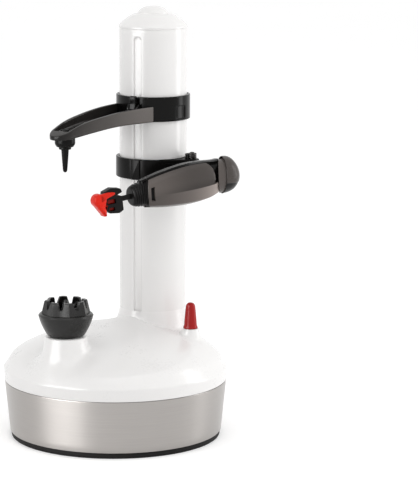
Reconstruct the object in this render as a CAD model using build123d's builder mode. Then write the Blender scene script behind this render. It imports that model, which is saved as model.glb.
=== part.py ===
from build123d import *
from math import atan2, cos, degrees, pi, radians, sin, sqrt, tan
import os

# Electric potato peeler: a round base with motor and gears, a column with a lead screw in it,
# a carriage with the peeling arm, and a second arm that presses the food on the turning holder.
# Millimetres. Origin under the middle of the base, +Z up, -Y towards the turning food holder.

os.makedirs("parts", exist_ok=True)

# ---------------------------------------------------------------- driving dimensions
total_height = 300.0
tower_y = 40.0  # column axis stands at (0, tower_y)
spindle_y = -51.0  # food axis stands at (0, spindle_y)

foot_r = 73.8
foot_height = 4.2
band_bottom_r = 74.6
band_top_r = 78.2
band_thickness = 0.8
seam_z = 40.4  # white housing meets the steel band
rim_r = 78.8
rim_z = 49.0
dome_top_z = 73.0
wall = 2.4

tower_r = 23.8
tower_wall = 2.6
tower_top_z = 285.0
groove_angle = 13.5  # degrees from -Y towards +X: guide groove of the two rings
groove_width = 5.6
groove_depth = 1.2
groove_low_z = 80.0
groove_high_z = 280.0
slot_angle = 193.5  # the half nut reaches the carriage through a slot at the back
slot_width = 5.6
slot_low_z = 116.0
slot_high_z = 212.0

module = 1.5
tooth_backlash = 0.5
addendum = 0.8 * module
dedendum = 1.15 * module
centre_play = 0.05
pinion_teeth = 12
wheel_teeth = 40
spindle_teeth = 26
idler_teeth = 16
screw_teeth = 40
low_gear_z = 8.0  # wheel and motor pinion
high_gear_z = 14.5  # gears of spindle, idler and screw
gear_width = 5.5
plate_z = 21.5
plate_thickness = 3.0
axle_r = 2.0
shaft_r = 4.0
journal_r = 3.0
running_gap = 0.05

ring_gap = 0.35  # carriage and collar on the column
key_inner_r = 22.95
key_width = 4.8
carriage_z = 180.0
carriage_height = 14.4
carriage_r = 26.3
lug_thickness = 3.0
pivot_x = 32.75
pivot_y = 44.0
pivot_pin_r = 1.9
lug_r = 5.0

arm_rear = Vector(61.5, 39.0, 185.5)  # on the arm's axis, where the knob meets the frame
arm_yaw = 19.8  # degrees from -Y towards -X
arm_droop = 7.3  # degrees, nose down
arm_front_s = 61.0  # ribbed collar begins
collar_length = 10.5
cover_thickness = 1.8
blade_shaft_r = 1.85
knob_r = 12.4

collar_z = 221.0
collar_height = 17.3
collar_r = 26.1
spike_bush_r = 7.0
spike_r = 3.0

button_x = 42.0
button_y = 32.0
button_seat_z = 76.2
screw_ring_r = 66.0
screw_angles = (-25, 25, 155, 205)

# ---------------------------------------------------------------- derived values
tower_inner_r = tower_r - tower_wall
ring_bore_r = tower_r + ring_gap
carriage_top = carriage_z + carriage_height
collar_top = collar_z + collar_height
plate_top = plate_z + plate_thickness
floor_z = foot_height + 2.5

gear_a = (0.0, spindle_y + module * (pinion_teeth + spindle_teeth) / 2 + centre_play)
motor_x = -(module * (wheel_teeth + pinion_teeth) / 2 + centre_play)
motor_y = gear_a[1]
idler_reach = module * (pinion_teeth + idler_teeth) / 2 + centre_play
screw_reach = module * (idler_teeth + screw_teeth) / 2 + centre_play
span = tower_y - gear_a[1]
along = (idler_reach**2 - screw_reach**2 + span**2) / (2 * span)
idler_x = sqrt(idler_reach**2 - along**2)
idler_y = gear_a[1] + along

yaw = radians(arm_yaw)
droop = radians(arm_droop)
arm_axis = Vector(-sin(yaw) * cos(droop), -cos(yaw) * cos(droop), -sin(droop))
arm_out = Vector(cos(yaw), -sin(yaw), 0)

groove_rad = radians(groove_angle)
groove_dir = Vector(sin(groove_rad), -cos(groove_rad), 0)
groove_side = Vector(cos(groove_rad), sin(groove_rad), 0)
groove_plane = Plane(origin=(0, tower_y, 0), x_dir=groove_side, z_dir=groove_dir)

slot_rad = radians(slot_angle)
slot_dir = Vector(sin(slot_rad), -cos(slot_rad), 0)
slot_side = Vector(cos(slot_rad), sin(slot_rad), 0)
slot_plane = Plane(origin=(0, tower_y, 0), x_dir=slot_side, z_dir=slot_dir)


# ---------------------------------------------------------------- shared shapes
def upright(x, y):
    """Vertical line through (x, y)."""
    return Axis((x, y, 0), (0, 0, 1))


def half_section(points, x=0.0, y=0.0):
    """Closed outline in the XZ plane through (x, y): radius and height pairs."""
    with BuildSketch(Plane(origin=(x, y, 0), x_dir=(1, 0, 0), z_dir=(0, -1, 0))) as outline:
        with BuildLine():
            Polyline(*points, close=True)
        make_face()
    return outline.sketch


def tube_section(inner, outer, low, high, x=0.0, y=0.0):
    """Rectangular half section of a plain tube or washer."""
    return half_section([(inner, low), (outer, low), (outer, high), (inner, high)], x, y)


def arm_plane(s):
    """Plane square to the peeling arm, s millimetres in front of its rear end."""
    return Plane(origin=arm_rear + arm_axis * s, x_dir=arm_out, z_dir=arm_axis)


# Local x runs forward along the arm, local y upwards.
arm_side = Plane(origin=arm_rear, x_dir=arm_axis, z_dir=arm_out * -1)
arm_line = Axis(arm_rear, arm_axis)


def arm_section(points):
    """Closed outline beside the arm's axis: distance forward and radius pairs."""
    with BuildSketch(arm_side) as outline:
        with BuildLine():
            Polyline(*points, close=True)
        make_face()
    return outline.sketch


def gear_outline(teeth, x, y, z, phase, bore):
    """Spur gear with straight flanks, one tooth centred at the angle phase."""
    pitch_r = module * teeth / 2
    half_tooth = (pi * module / 2 - tooth_backlash) / 2
    slope = tan(radians(20))
    root = pitch_r - dedendum
    tip = pitch_r + addendum
    root_half = half_tooth + dedendum * slope
    tip_half = half_tooth - addendum * slope
    sunk = root - 0.3
    with BuildSketch(Plane.XY.offset(z)) as outline:
        with Locations((x, y)):
            Circle(root)
            with PolarLocations(0, teeth, start_angle=phase):
                Polygon((sunk, -root_half), (tip, -tip_half), (tip, tip_half), (sunk, root_half))
            Circle(bore, mode=Mode.SUBTRACT)
    return outline.sketch


def meshed(phase, teeth, partner_teeth, direction):
    """Phase of the partner gear that puts a gap where this gear has a tooth."""
    return direction + 180 - (phase - direction) * teeth / partner_teeth + 180 / partner_teeth


direction_idler = degrees(atan2(idler_y - gear_a[1], idler_x - gear_a[0]))
direction_screw = degrees(atan2(tower_y - idler_y, -idler_x))
spindle_phase = meshed(0, pinion_teeth, spindle_teeth, -90)
idler_phase = meshed(0, pinion_teeth, idler_teeth, direction_idler)
screw_phase = meshed(idler_phase, idler_teeth, screw_teeth, direction_screw)
motor_phase = meshed(0, wheel_teeth, pinion_teeth, 180)


# ================================================================ base
# Soft ring that the machine stands on.
with BuildPart() as foot_ring:
    revolve(
        half_section(
            [(61, 0), (foot_r - 0.8, 0), (foot_r, 0.8), (foot_r, foot_height), (61, foot_height)]
        ),
        axis=Axis.Z,
    )
foot_ring.part.label = "foot_ring"
export_step(foot_ring.part, "parts/foot_ring.step")


# Tub behind the steel band: floor, tapered wall, screw posts and pillars for the gear plate.
tub_slope = (band_top_r - band_bottom_r) / (seam_z - foot_height)
tub_low_r = band_bottom_r - band_thickness - 0.1
tub_top_z = seam_z - 2.0
tub_high_r = tub_low_r + tub_slope * (tub_top_z - foot_height)
inlet_z = 30.5
inlet_r = 4.5
pillars = ((38, 5), (-38, 5), (28, -58), (-28, -58), (38, 48), (-38, 48))

with BuildPart() as lower_housing:
    revolve(
        half_section(
            [
                (0, foot_height),
                (tub_low_r, foot_height),
                (tub_high_r, tub_top_z),
                (tub_high_r - 2.2, tub_top_z),
                (tub_low_r - 2.2, floor_z),
                (0, floor_z),
            ]
        ),
        axis=Axis.Z,
    )
    with BuildSketch(Plane.XY.offset(floor_z)):
        for angle in screw_angles:
            with PolarLocations(screw_ring_r, 1, start_angle=angle):
                Circle(4.2)
        with Locations(*pillars):
            Circle(3.6)
    extrude(amount=plate_z - floor_z)
    with BuildSketch(Plane.XY.offset(foot_height)):
        for angle in screw_angles:
            with PolarLocations(screw_ring_r, 1, start_angle=angle):
                Circle(1.7)
    extrude(amount=plate_z, mode=Mode.SUBTRACT)
    with BuildSketch(Plane.XY.offset(foot_height)):
        for angle in screw_angles:
            with PolarLocations(screw_ring_r, 1, start_angle=angle):
                Circle(3.3)
    extrude(amount=2.2, mode=Mode.SUBTRACT)
    with BuildSketch(Plane.XY.offset(plate_z)):
        with Locations(*pillars):
            Circle(1.25)
    extrude(amount=-8, mode=Mode.SUBTRACT)
    with BuildSketch(Plane.XY.offset(foot_height + 1)):
        with Locations(gear_a):
            Circle(axle_r)
    extrude(amount=floor_z, mode=Mode.SUBTRACT)
    with BuildSketch(Plane.XZ.offset(-tub_low_r + 12)):
        with Locations((0, inlet_z)):
            Circle(inlet_r)
    extrude(amount=-20, mode=Mode.SUBTRACT)
lower_housing.part.label = "lower_housing"
export_step(lower_housing.part, "parts/lower_housing.step")


# Thin steel skirt, slightly tapered, with the hole of the inlet at the back.
with BuildPart() as steel_band:
    revolve(
        half_section(
            [
                (band_bottom_r - band_thickness, foot_height),
                (band_bottom_r, foot_height),
                (band_top_r, seam_z),
                (band_top_r - band_thickness, seam_z),
            ]
        ),
        axis=Axis.Z,
    )
    with BuildSketch(Plane.XZ.offset(-band_bottom_r + 12)):
        with Locations((0, inlet_z)):
            Circle(inlet_r + 0.1)
    extrude(amount=-20, mode=Mode.SUBTRACT)
steel_band.part.label = "steel_band"
export_step(steel_band.part, "parts/steel_band.step")


# White housing: rim, dome, and the flares that carry spindle, column and button.
def dome_section(inset):
    """Half section of the dome, drawn in from the outside by inset."""
    with BuildSketch(Plane.XZ) as outline:
        with BuildLine():
            rim = Line((band_top_r - inset, seam_z), (rim_r - inset, rim_z - inset / 2))
            crown = Spline(
                rim @ 1,
                (74.4 - inset * 0.8, 54.1 - inset * 0.8),
                (67.3 - inset * 0.6, 60.2 - inset),
                (56.8 - inset * 0.3, 65.2 - inset),
                (34.0, 70.8 - inset),
                (0, dome_top_z - inset),
            )
            Line(crown @ 1, (0, seam_z))
            Line((0, seam_z), rim @ 0)
        make_face()
    return outline.sketch


def flare_section(x, y, top_r, top_z, waist, foot, low_z):
    """Half section of a flare: level top, hollow curve through waist, down to foot."""
    with BuildSketch(Plane(origin=(x, y, 0), x_dir=(1, 0, 0), z_dir=(0, -1, 0))) as outline:
        with BuildLine():
            Polyline((0, low_z), (0, top_z), (top_r, top_z))
            curve = ThreePointArc((top_r, top_z), waist, foot)
            Polyline(curve @ 1, (foot[0], low_z), (0, low_z))
        make_face()
    return outline.sketch


spindle_top_z = 78.2
spindle_bush_r = 7.0
# Wide low flare in front of the column, kept close above the dome.
with BuildPart() as column_flare:
    revolve(
        flare_section(0, tower_y, tower_r + 0.4, 84.5, (28.5, 77.2), (42.0, 71.5), 50),
        axis=upright(0, tower_y),
    )
    with BuildSketch(Plane.XZ):
        with BuildLine():
            lid = Spline((74, 53), (66.5, 62.5), (57, 68.5), (44, 73.6), (26, 78.5), (8, 84.5))
            Polyline(lid @ 1, (0, 84.5), (0, 50), (74, 50), lid @ 0)
        make_face()
    revolve(axis=Axis.Z, mode=Mode.INTERSECT)

# Steep root round the back of the column, trimmed where it would overhang the rim.
with BuildPart() as column_root:
    revolve(
        flare_section(0, tower_y, tower_r + 0.4, 84.5, (27.6, 74.0), (38.0, 58.0), 50),
        axis=upright(0, tower_y),
    )
    with BuildSketch(Plane.XZ):
        with BuildLine():
            back = Spline((77.4, 51), (75.2, 57), (71.6, 64.5), (68.2, 72), (65.8, 79), (64.8, 84.5))
            Polyline(back @ 1, (0, 84.5), (0, 50), (77.4, 50), back @ 0)
        make_face()
    revolve(axis=Axis.Z, mode=Mode.INTERSECT)

with BuildPart() as upper_housing:
    revolve(dome_section(0), axis=Axis.Z)
    add(column_flare.part)
    add(column_root.part)
    revolve(
        flare_section(0, spindle_y, 14.4, spindle_top_z, (17.0, 66.5), (22.5, 55.5), 50),
        axis=upright(0, spindle_y),
    )
    revolve(
        flare_section(button_x, button_y, 5.8, button_seat_z, (7.2, 71.0), (11.5, 65.0), 58),
        axis=upright(button_x, button_y),
    )
    revolve(dome_section(wall), axis=Axis.Z, mode=Mode.SUBTRACT)
    # Inner tubes: spindle bushes, column socket, button guide and screw posts.
    with BuildSketch(Plane.XY.offset(46)):
        with Locations((0, spindle_y)):
            Circle(9.4)
    extrude(amount=16)
    with BuildSketch(Plane.XY.offset(54)):
        with Locations((0, tower_y)):
            Circle(tower_r + 3)
    extrude(amount=14)
    with BuildSketch(Plane.XY.offset(58.5)):
        with Locations((button_x, button_y)):
            Circle(5.0)
    extrude(amount=6)
    with BuildSketch(Plane.XY.offset(plate_z)):
        for angle in screw_angles:
            with PolarLocations(screw_ring_r, 1, start_angle=angle):
                Circle(4.2)
                Circle(1.4, mode=Mode.SUBTRACT)
    extrude(amount=56.8 - plate_z)
    with BuildSketch(Plane.XY.offset(40)):
        with Locations((0, spindle_y)):
            Circle(spindle_bush_r)
        with Locations((0, tower_y)):
            Circle(tower_r)
        with Locations((button_x, button_y)):
            Circle(2.5)
    extrude(amount=60, mode=Mode.SUBTRACT)
upper_housing.part.label = "upper_housing"
export_step(upper_housing.part, "parts/upper_housing.step")


# Countersunk screws that hold both housings together, hidden by the foot ring.
with BuildPart() as housing_screws:
    for angle in screw_angles:
        screw_x = screw_ring_r * cos(radians(angle))
        screw_y = screw_ring_r * sin(radians(angle))
        revolve(
            half_section(
                [(0, 4.3), (3.2, 4.3), (3.2, 6.3), (1.4, 6.3), (1.4, 40), (0.6, 42), (0, 42)],
                screw_x,
                screw_y,
            ),
            axis=upright(screw_x, screw_y),
        )
housing_screws.part.label = "housing_screws"
export_step(housing_screws.part, "parts/housing_screws.step")


# Plate above the gears: it carries the motor, the column and the axles.
idler_pin_z = high_gear_z - 0.4
with BuildPart() as gear_plate:
    with BuildSketch(Plane.XY.offset(plate_z)):
        with Locations(*pillars):
            Circle(6)
        with Locations((motor_x, motor_y)):
            Circle(15)
        with Locations((0, tower_y)):
            Circle(tower_r + 2.5)
        make_hull()
    extrude(amount=plate_thickness)
    with BuildSketch(Plane.XY.offset(plate_top)):
        with Locations((0, tower_y)):
            Circle(tower_inner_r)
            Circle(tower_inner_r - 2, mode=Mode.SUBTRACT)
    extrude(amount=8)
    with BuildSketch(Plane.XY.offset(plate_z - 1)):
        with Locations(*pillars):
            Circle(1.6)
        with Locations(gear_a, (idler_x, idler_y)):
            Circle(axle_r)
        with Locations((0, spindle_y), (0, tower_y)):
            Circle(shaft_r + 1.5)
        with Locations((motor_x, motor_y)):
            Circle(4.5)
    extrude(amount=plate_thickness + 2, mode=Mode.SUBTRACT)
gear_plate.part.label = "gear_plate"
export_step(gear_plate.part, "parts/gear_plate.step")


with BuildPart() as plate_screws:
    for pillar_x, pillar_y in pillars:
        revolve(
            half_section(
                [
                    (0, plate_z - 7),
                    (1.2, plate_z - 7),
                    (1.2, plate_top),
                    (3.0, plate_top),
                    (2.4, plate_top + 2),
                    (0, plate_top + 2),
                ],
                pillar_x,
                pillar_y,
            ),
            axis=upright(pillar_x, pillar_y),
        )
plate_screws.part.label = "plate_screws"
export_step(plate_screws.part, "parts/plate_screws.step")


# Motor can with its end boss and tail bearing; the shaft belongs to the pinion.
motor_r = 14.0
motor_top_z = 56.0
with BuildPart() as motor_can:
    revolve(
        half_section(
            [
                (1.3, plate_z + 0.8),
                (4.4, plate_z + 0.8),
                (4.4, plate_top),
                (motor_r - 1, plate_top),
                (motor_r, plate_top + 1),
                (motor_r, motor_top_z - 3),
                (motor_r - 3, motor_top_z - 1.5),
                (4, motor_top_z - 1.5),
                (4, motor_top_z),
                (1.3, motor_top_z),
            ],
            motor_x,
            motor_y,
        ),
        axis=upright(motor_x, motor_y),
    )
motor_can.part.label = "motor_can"
export_step(motor_can.part, "parts/motor_can.step")


with BuildPart() as reduction_axle:
    with BuildSketch(Plane.XY.offset(foot_height + 1)):
        with Locations(gear_a):
            Circle(axle_r)
    extrude(amount=plate_top - foot_height - 1)
reduction_axle.part.label = "reduction_axle"
export_step(reduction_axle.part, "parts/reduction_axle.step")


with BuildPart() as idler_axle:
    with BuildSketch(Plane.XY.offset(idler_pin_z - 0.8)):
        with Locations((idler_x, idler_y)):
            Circle(axle_r + 1.2)
    extrude(amount=0.8)
    with BuildSketch(Plane.XY.offset(idler_pin_z)):
        with Locations((idler_x, idler_y)):
            Circle(axle_r)
    extrude(amount=plate_top - idler_pin_z)
idler_axle.part.label = "idler_axle"
export_step(idler_axle.part, "parts/idler_axle.step")


# Two bushes in the spindle boss.
with BuildPart() as spindle_bushes:
    for low in (46.0, 70.0):
        revolve(
            tube_section(shaft_r + running_gap, spindle_bush_r, low, low + 7, 0, spindle_y),
            axis=upright(0, spindle_y),
        )
spindle_bushes.part.label = "spindle_bushes"
export_step(spindle_bushes.part, "parts/spindle_bushes.step")


# Bushes at both ends of the lead screw.
with BuildPart() as screw_bushes:
    for low in (floor_z, 278.0):
        revolve(
            tube_section(journal_r + running_gap, 6.0, low, low + 5, 0, tower_y),
            axis=upright(0, tower_y),
        )
screw_bushes.part.label = "screw_bushes"
export_step(screw_bushes.part, "parts/screw_bushes.step")


# Column: a tube with a round-ended guide groove in front and the half nut's slot behind.
with BuildPart() as tower_tube:
    revolve(
        tube_section(tower_inner_r, tower_r, plate_top, tower_top_z, 0, tower_y),
        axis=upright(0, tower_y),
    )
    with BuildSketch(groove_plane.offset(tower_r - groove_depth)):
        with Locations((0, (groove_low_z + groove_high_z) / 2)):
            SlotOverall(groove_high_z - groove_low_z, groove_width, rotation=90)
    extrude(amount=4, mode=Mode.SUBTRACT)
    with BuildSketch(slot_plane.offset(tower_inner_r - 3)):
        with Locations((0, (slot_low_z + slot_high_z) / 2)):
            SlotOverall(slot_high_z - slot_low_z, slot_width, rotation=90)
    extrude(amount=8, mode=Mode.SUBTRACT)
tower_tube.part.label = "tower_tube"
export_step(tower_tube.part, "parts/tower_tube.step")


# Cap: conical shoulder, a step and a low dome, with a plug and a bush seat inside.
with BuildPart() as tower_cap:
    with BuildSketch(Plane(origin=(0, tower_y, 0), x_dir=(1, 0, 0), z_dir=(0, -1, 0))):
        with BuildLine():
            Polyline((tower_inner_r - 0.1, tower_top_z), (24.1, tower_top_z), (24.1, 286.3))
            ThreePointArc((24.1, 286.3), (20.0, 290.2), (14.4, 294.1))
            Line((14.4, 294.1), (10.9, 294.8))
            ThreePointArc((10.9, 294.8), (7.6, 298.0), (2.0, total_height))
            Polyline(
                (2.0, total_height),
                (0, total_height),
                (0, 284),
                (6.0, 284),
                (6.0, 277.5),
                (8.5, 277.5),
                (8.5, 290.5),
                (14.0, 290.5),
                (18.8, 286.5),
                (18.8, 277.5),
                (tower_inner_r - 0.1, 277.5),
                (tower_inner_r - 0.1, tower_top_z),
            )
        make_face()
    revolve(axis=upright(0, tower_y))
tower_cap.part.label = "tower_cap"
export_step(tower_cap.part, "parts/tower_cap.step")


# Switch under the button.
with BuildPart() as switch_body:
    with BuildSketch(Plane.XY.offset(46)):
        with Locations((button_x, button_y)):
            Rectangle(12, 10)
    extrude(amount=12)
    fillet(switch_body.edges().filter_by(Axis.Z), radius=1)
    with BuildSketch(Plane.XY.offset(49)):
        with Locations((button_x, button_y)):
            Circle(2.6)
    extrude(amount=10, mode=Mode.SUBTRACT)
switch_body.part.label = "switch_body"
export_step(switch_body.part, "parts/switch_body.step")


# Socket for the mains adaptor, at the back.
inlet_mouth_y = 77.4
inlet_bore_r = 2.85
with BuildPart() as dc_inlet:
    with BuildSketch(Plane.XZ.offset(-inlet_mouth_y)):
        with Locations((0, inlet_z)):
            Circle(inlet_r)
    extrude(amount=inlet_mouth_y - 64.6)
    with BuildSketch(Plane.XZ.offset(-68)):
        with Locations((0, inlet_z)):
            Rectangle(12, 11)
    extrude(amount=3)
    with BuildSketch(Plane.XZ.offset(-inlet_mouth_y)):
        with Locations((0, inlet_z)):
            Circle(inlet_bore_r)
    extrude(amount=9, mode=Mode.SUBTRACT)
dc_inlet.part.label = "dc_inlet"
export_step(dc_inlet.part, "parts/dc_inlet.step")


# ================================================================ gear train
with BuildPart() as motor_pinion:
    extrude(gear_outline(pinion_teeth, motor_x, motor_y, low_gear_z, motor_phase, 0.6), amount=5)
    with BuildSketch(Plane.XY.offset(low_gear_z)):
        with Locations((motor_x, motor_y)):
            Circle(1.2)
    extrude(amount=motor_top_z + 1.5 - low_gear_z)
motor_pinion.part.label = "motor_pinion"
export_step(motor_pinion.part, "parts/motor_pinion.step")


# Compound gear: a wide wheel with web and rim below, a pinion above.
with BuildPart() as reduction_gear:
    bore = axle_r + running_gap
    extrude(gear_outline(wheel_teeth, *gear_a, low_gear_z, 0, bore), amount=5)
    with BuildSketch(Plane.XY.offset(low_gear_z)):
        with Locations(gear_a):
            Circle(25)
            Circle(7, mode=Mode.SUBTRACT)
    extrude(amount=1.5, mode=Mode.SUBTRACT)
    extrude(gear_outline(pinion_teeth, *gear_a, low_gear_z + 5, 0, bore), amount=7.6)
reduction_gear.part.label = "reduction_gear"
export_step(reduction_gear.part, "parts/reduction_gear.step")


with BuildPart() as idler_gear:
    extrude(
        gear_outline(
            idler_teeth, idler_x, idler_y, high_gear_z, idler_phase, axle_r + running_gap
        ),
        amount=gear_width,
    )
idler_gear.part.label = "idler_gear"
export_step(idler_gear.part, "parts/idler_gear.step")


with BuildPart() as screw_gear:
    extrude(
        gear_outline(screw_teeth, 0, tower_y, high_gear_z, screw_phase, shaft_r), amount=gear_width
    )
    with BuildSketch(Plane.XY.offset(high_gear_z)):
        with Locations((0, tower_y)):
            Circle(25)
            Circle(8, mode=Mode.SUBTRACT)
    extrude(amount=2, mode=Mode.SUBTRACT)
screw_gear.part.label = "screw_gear"
export_step(screw_gear.part, "parts/screw_gear.step")


# Lead screw core with its journals.
with BuildPart() as lead_screw:
    revolve(
        half_section(
            [
                (0, floor_z + 0.3),
                (journal_r, floor_z + 0.3),
                (journal_r, high_gear_z - 0.5),
                (shaft_r, high_gear_z - 0.5),
                (shaft_r, 276),
                (journal_r, 277),
                (journal_r, 283.4),
                (0, 283.4),
            ],
            0,
            tower_y,
        ),
        axis=upright(0, tower_y),
    )
lead_screw.part.label = "lead_screw"
export_step(lead_screw.part, "parts/lead_screw.step")


with BuildPart() as spindle_gear:
    extrude(
        gear_outline(spindle_teeth, 0, spindle_y, high_gear_z, spindle_phase, shaft_r),
        amount=gear_width,
    )
spindle_gear.part.label = "spindle_gear"
export_step(spindle_gear.part, "parts/spindle_gear.step")


with BuildPart() as spindle_shaft:
    revolve(
        half_section(
            [(0, 14), (shaft_r, 14), (shaft_r, 88), (shaft_r - 0.8, 89), (0, 89)], 0, spindle_y
        ),
        axis=upright(0, spindle_y),
    )
spindle_shaft.part.label = "spindle_shaft"
export_step(spindle_shaft.part, "parts/spindle_shaft.step")


# Food holder: a flared cup with a ledge, a crown of angled teeth that bite into the food,
# radial ribs behind them and a spike in the middle.
holder_low_z = 79.0
ledge_z = 94.6
tooth_top_z = 103.6
tooth_count = 8
tooth_angle = 6.5  # degrees, first tooth
crown_wall = 2.4
with BuildPart() as food_holder:
    with BuildSketch(Plane(origin=(0, spindle_y, 0), x_dir=(1, 0, 0), z_dir=(0, -1, 0))):
        with BuildLine():
            Polyline((0, holder_low_z), (12.2, holder_low_z), (13.4, holder_low_z + 0.9))
            ThreePointArc((13.4, holder_low_z + 0.9), (16.9, 86.2), (18.8, 92.6))
            Polyline(
                (18.8, 92.6),
                (18.2, ledge_z - 0.5),
                (17.3, ledge_z),
                (4.6, ledge_z),
                (1.0, tooth_top_z),
                (0, tooth_top_z),
                (0, holder_low_z),
            )
        make_face()
    revolve(axis=upright(0, spindle_y))
    for crown_z, crown_r in ((ledge_z, 17.0), (tooth_top_z, 14.8)):
        with BuildSketch(Plane.XY.offset(crown_z)):
            with Locations((0, spindle_y)):
                RegularPolygon(crown_r, tooth_count, rotation=tooth_angle)
                RegularPolygon(
                    crown_r - crown_wall, tooth_count, rotation=tooth_angle, mode=Mode.SUBTRACT
                )
    loft(ruled=True)
    for tooth in range(tooth_count):
        tooth_rad = radians(tooth_angle + 360 / tooth_count * tooth)
        notch_rad = tooth_rad + pi / tooth_count
        tooth_dir = (cos(tooth_rad), sin(tooth_rad), 0)
        notch_dir = (cos(notch_rad), sin(notch_rad), 0)
        with BuildSketch(
            Plane(
                origin=(0, spindle_y, 0),
                x_dir=tooth_dir,
                z_dir=(sin(tooth_rad), -cos(tooth_rad), 0),
            )
        ):
            Polygon((6.0, ledge_z - 1), (14.4, ledge_z - 1), (13.8, 100.6), (6.0, 97.0))
        extrude(amount=0.9, both=True)
        with BuildSketch(
            Plane(
                origin=(9 * notch_dir[0], spindle_y + 9 * notch_dir[1], 0),
                x_dir=(-notch_dir[1], notch_dir[0], 0),
                z_dir=notch_dir,
            )
        ):
            Polygon((-0.8, 99.0), (0.8, 99.0), (3.4, 105), (-3.4, 105))
        extrude(amount=9, mode=Mode.SUBTRACT)
    with BuildSketch(Plane.XY.offset(holder_low_z)):
        with Locations((0, spindle_y)):
            Circle(shaft_r)
    extrude(amount=10.2, mode=Mode.SUBTRACT)
food_holder.part.label = "food_holder"
export_step(food_holder.part, "parts/food_holder.step")


# ================================================================ carriage
# Ring on the column with the two lugs of the arm pivot, key housing and spring ear.
nut_low_z = carriage_z + 2.7
nut_height = 9.0
with BuildPart() as carriage_ring:
    with BuildSketch(Plane.XY.offset(carriage_z)):
        with Locations((0, tower_y)):
            Circle(carriage_r)
    extrude(amount=carriage_height)
    for low in (carriage_z, carriage_top - lug_thickness):
        with BuildSketch(Plane.XY.offset(low)):
            with Locations((0, tower_y)):
                Circle(carriage_r)
            with Locations((pivot_x, pivot_y)):
                Circle(lug_r)
            make_hull()
        extrude(amount=lug_thickness)
    for housing_plane in (groove_plane, slot_plane):
        with BuildSketch(housing_plane.offset(24)):
            with Locations((0, carriage_z + carriage_height / 2)):
                Rectangle(7, carriage_height)
        extrude(amount=3.2)
    with BuildSketch(Plane.XY.offset(carriage_z - 1)):
        with Locations((0, tower_y)):
            Circle(ring_bore_r)
    extrude(amount=carriage_height + 2, mode=Mode.SUBTRACT)
    with BuildSketch(groove_plane.offset(key_inner_r)):
        with Locations((0, carriage_z + carriage_height / 2)):
            Rectangle(key_width, carriage_height)
    extrude(amount=2)
    with BuildSketch(slot_plane.offset(21)):
        with Locations((0, carriage_z + carriage_height / 2)):
            Rectangle(5.0, 9.8)
    extrude(amount=5.3, mode=Mode.SUBTRACT)
    with BuildSketch(Plane.XY.offset(carriage_top)):
        with Locations((pivot_x, pivot_y)):
            Circle(lug_r)
            Circle(lug_r - 1.1, mode=Mode.SUBTRACT)
            with Locations((lug_r + 1, 0)):
                Rectangle(lug_r * 2, lug_r * 2.2, mode=Mode.SUBTRACT)
    extrude(amount=3.6)
    with BuildSketch(Plane.XY.offset(carriage_z - 1)):
        with Locations((pivot_x, pivot_y)):
            Circle(pivot_pin_r)
    extrude(amount=carriage_height + 2, mode=Mode.SUBTRACT)
carriage_ring.part.label = "carriage_ring"
export_step(carriage_ring.part, "parts/carriage_ring.step")


with BuildPart() as arm_pivot_pin:
    revolve(
        half_section(
            [
                (0, carriage_z - 1.2),
                (3.2, carriage_z - 1.2),
                (3.2, carriage_z),
                (pivot_pin_r, carriage_z),
                (pivot_pin_r, carriage_top + 4.0),
                (1.2, carriage_top + 4.8),
                (0, carriage_top + 4.8),
            ],
            pivot_x,
            pivot_y,
        ),
        axis=upright(pivot_x, pivot_y),
    )
arm_pivot_pin.part.label = "arm_pivot_pin"
export_step(arm_pivot_pin.part, "parts/arm_pivot_pin.step")


# Torsion spring on the pin, above the upper lug.
spring_wire_r = 0.45
spring_coil_r = pivot_pin_r + spring_wire_r + 0.15
with BuildPart() as arm_spring:
    with BuildLine() as coil:
        Helix(
            pitch=1.05,
            height=3.0,
            radius=spring_coil_r,
            center=(pivot_x, pivot_y, carriage_top + 0.55),
        )
    with BuildSketch(Plane(origin=coil.line @ 0, z_dir=coil.line % 0)):
        RegularPolygon(spring_wire_r, 6)
    sweep(is_frenet=True)
arm_spring.part.label = "arm_spring"
export_step(arm_spring.part, "parts/arm_spring.step")


# Half nut: a threaded half shell on a stem that slides in the carriage.
with BuildPart() as half_nut:
    with BuildSketch(Plane.XY.offset(nut_low_z)):
        with Locations((0, tower_y)):
            Circle(8)
    extrude(amount=nut_height)
    with BuildSketch(slot_plane.offset(4)):
        with Locations((0, nut_low_z + nut_height / 2)):
            Rectangle(4.4, nut_height)
    extrude(amount=20.2)
    with BuildSketch(Plane.XY.offset(nut_low_z - 1)):
        with Locations((0, tower_y)):
            Circle(shaft_r + running_gap)
    extrude(amount=nut_height + 2, mode=Mode.SUBTRACT)
    with BuildSketch(slot_plane.offset(0.8)):
        with Locations((0, nut_low_z + nut_height / 2)):
            Rectangle(20, nut_height + 2)
    extrude(amount=-12, mode=Mode.SUBTRACT)
half_nut.part.label = "half_nut"
export_step(half_nut.part, "parts/half_nut.step")


# ================================================================ peeling arm
# Stations along the arm: distance from the rear, half width and half height of the body.
arm_stations = (
    (-1.0, 8.0, 9.4),
    (4.0, 9.2, 10.8),
    (11.0, 11.2, 13.4),
    (22.0, 12.0, 14.4),
    (42.0, 10.9, 13.0),
    (arm_front_s, 8.8, 9.6),
)
# Outline of the covered side, from the top edge round the outside to the bottom edge,
# and of the bare side, in parts of half width and half height. The crease is the fourth point.
covered = ((0.38, 0.93), (0.74, 0.72), (0.98, 0.16), (1.0, -0.4), (0.68, -0.84), (0.02, -1.0))
bare = ((-0.62, -0.85), (-1.0, -0.34), (-1.0, 0.36), (-0.66, 0.84), (0.0, 1.0))


def scaled(points, half_width, half_height):
    """Points given in parts of the body's size, in millimetres."""
    return [(x * half_width, y * half_height) for x, y in points]


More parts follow.
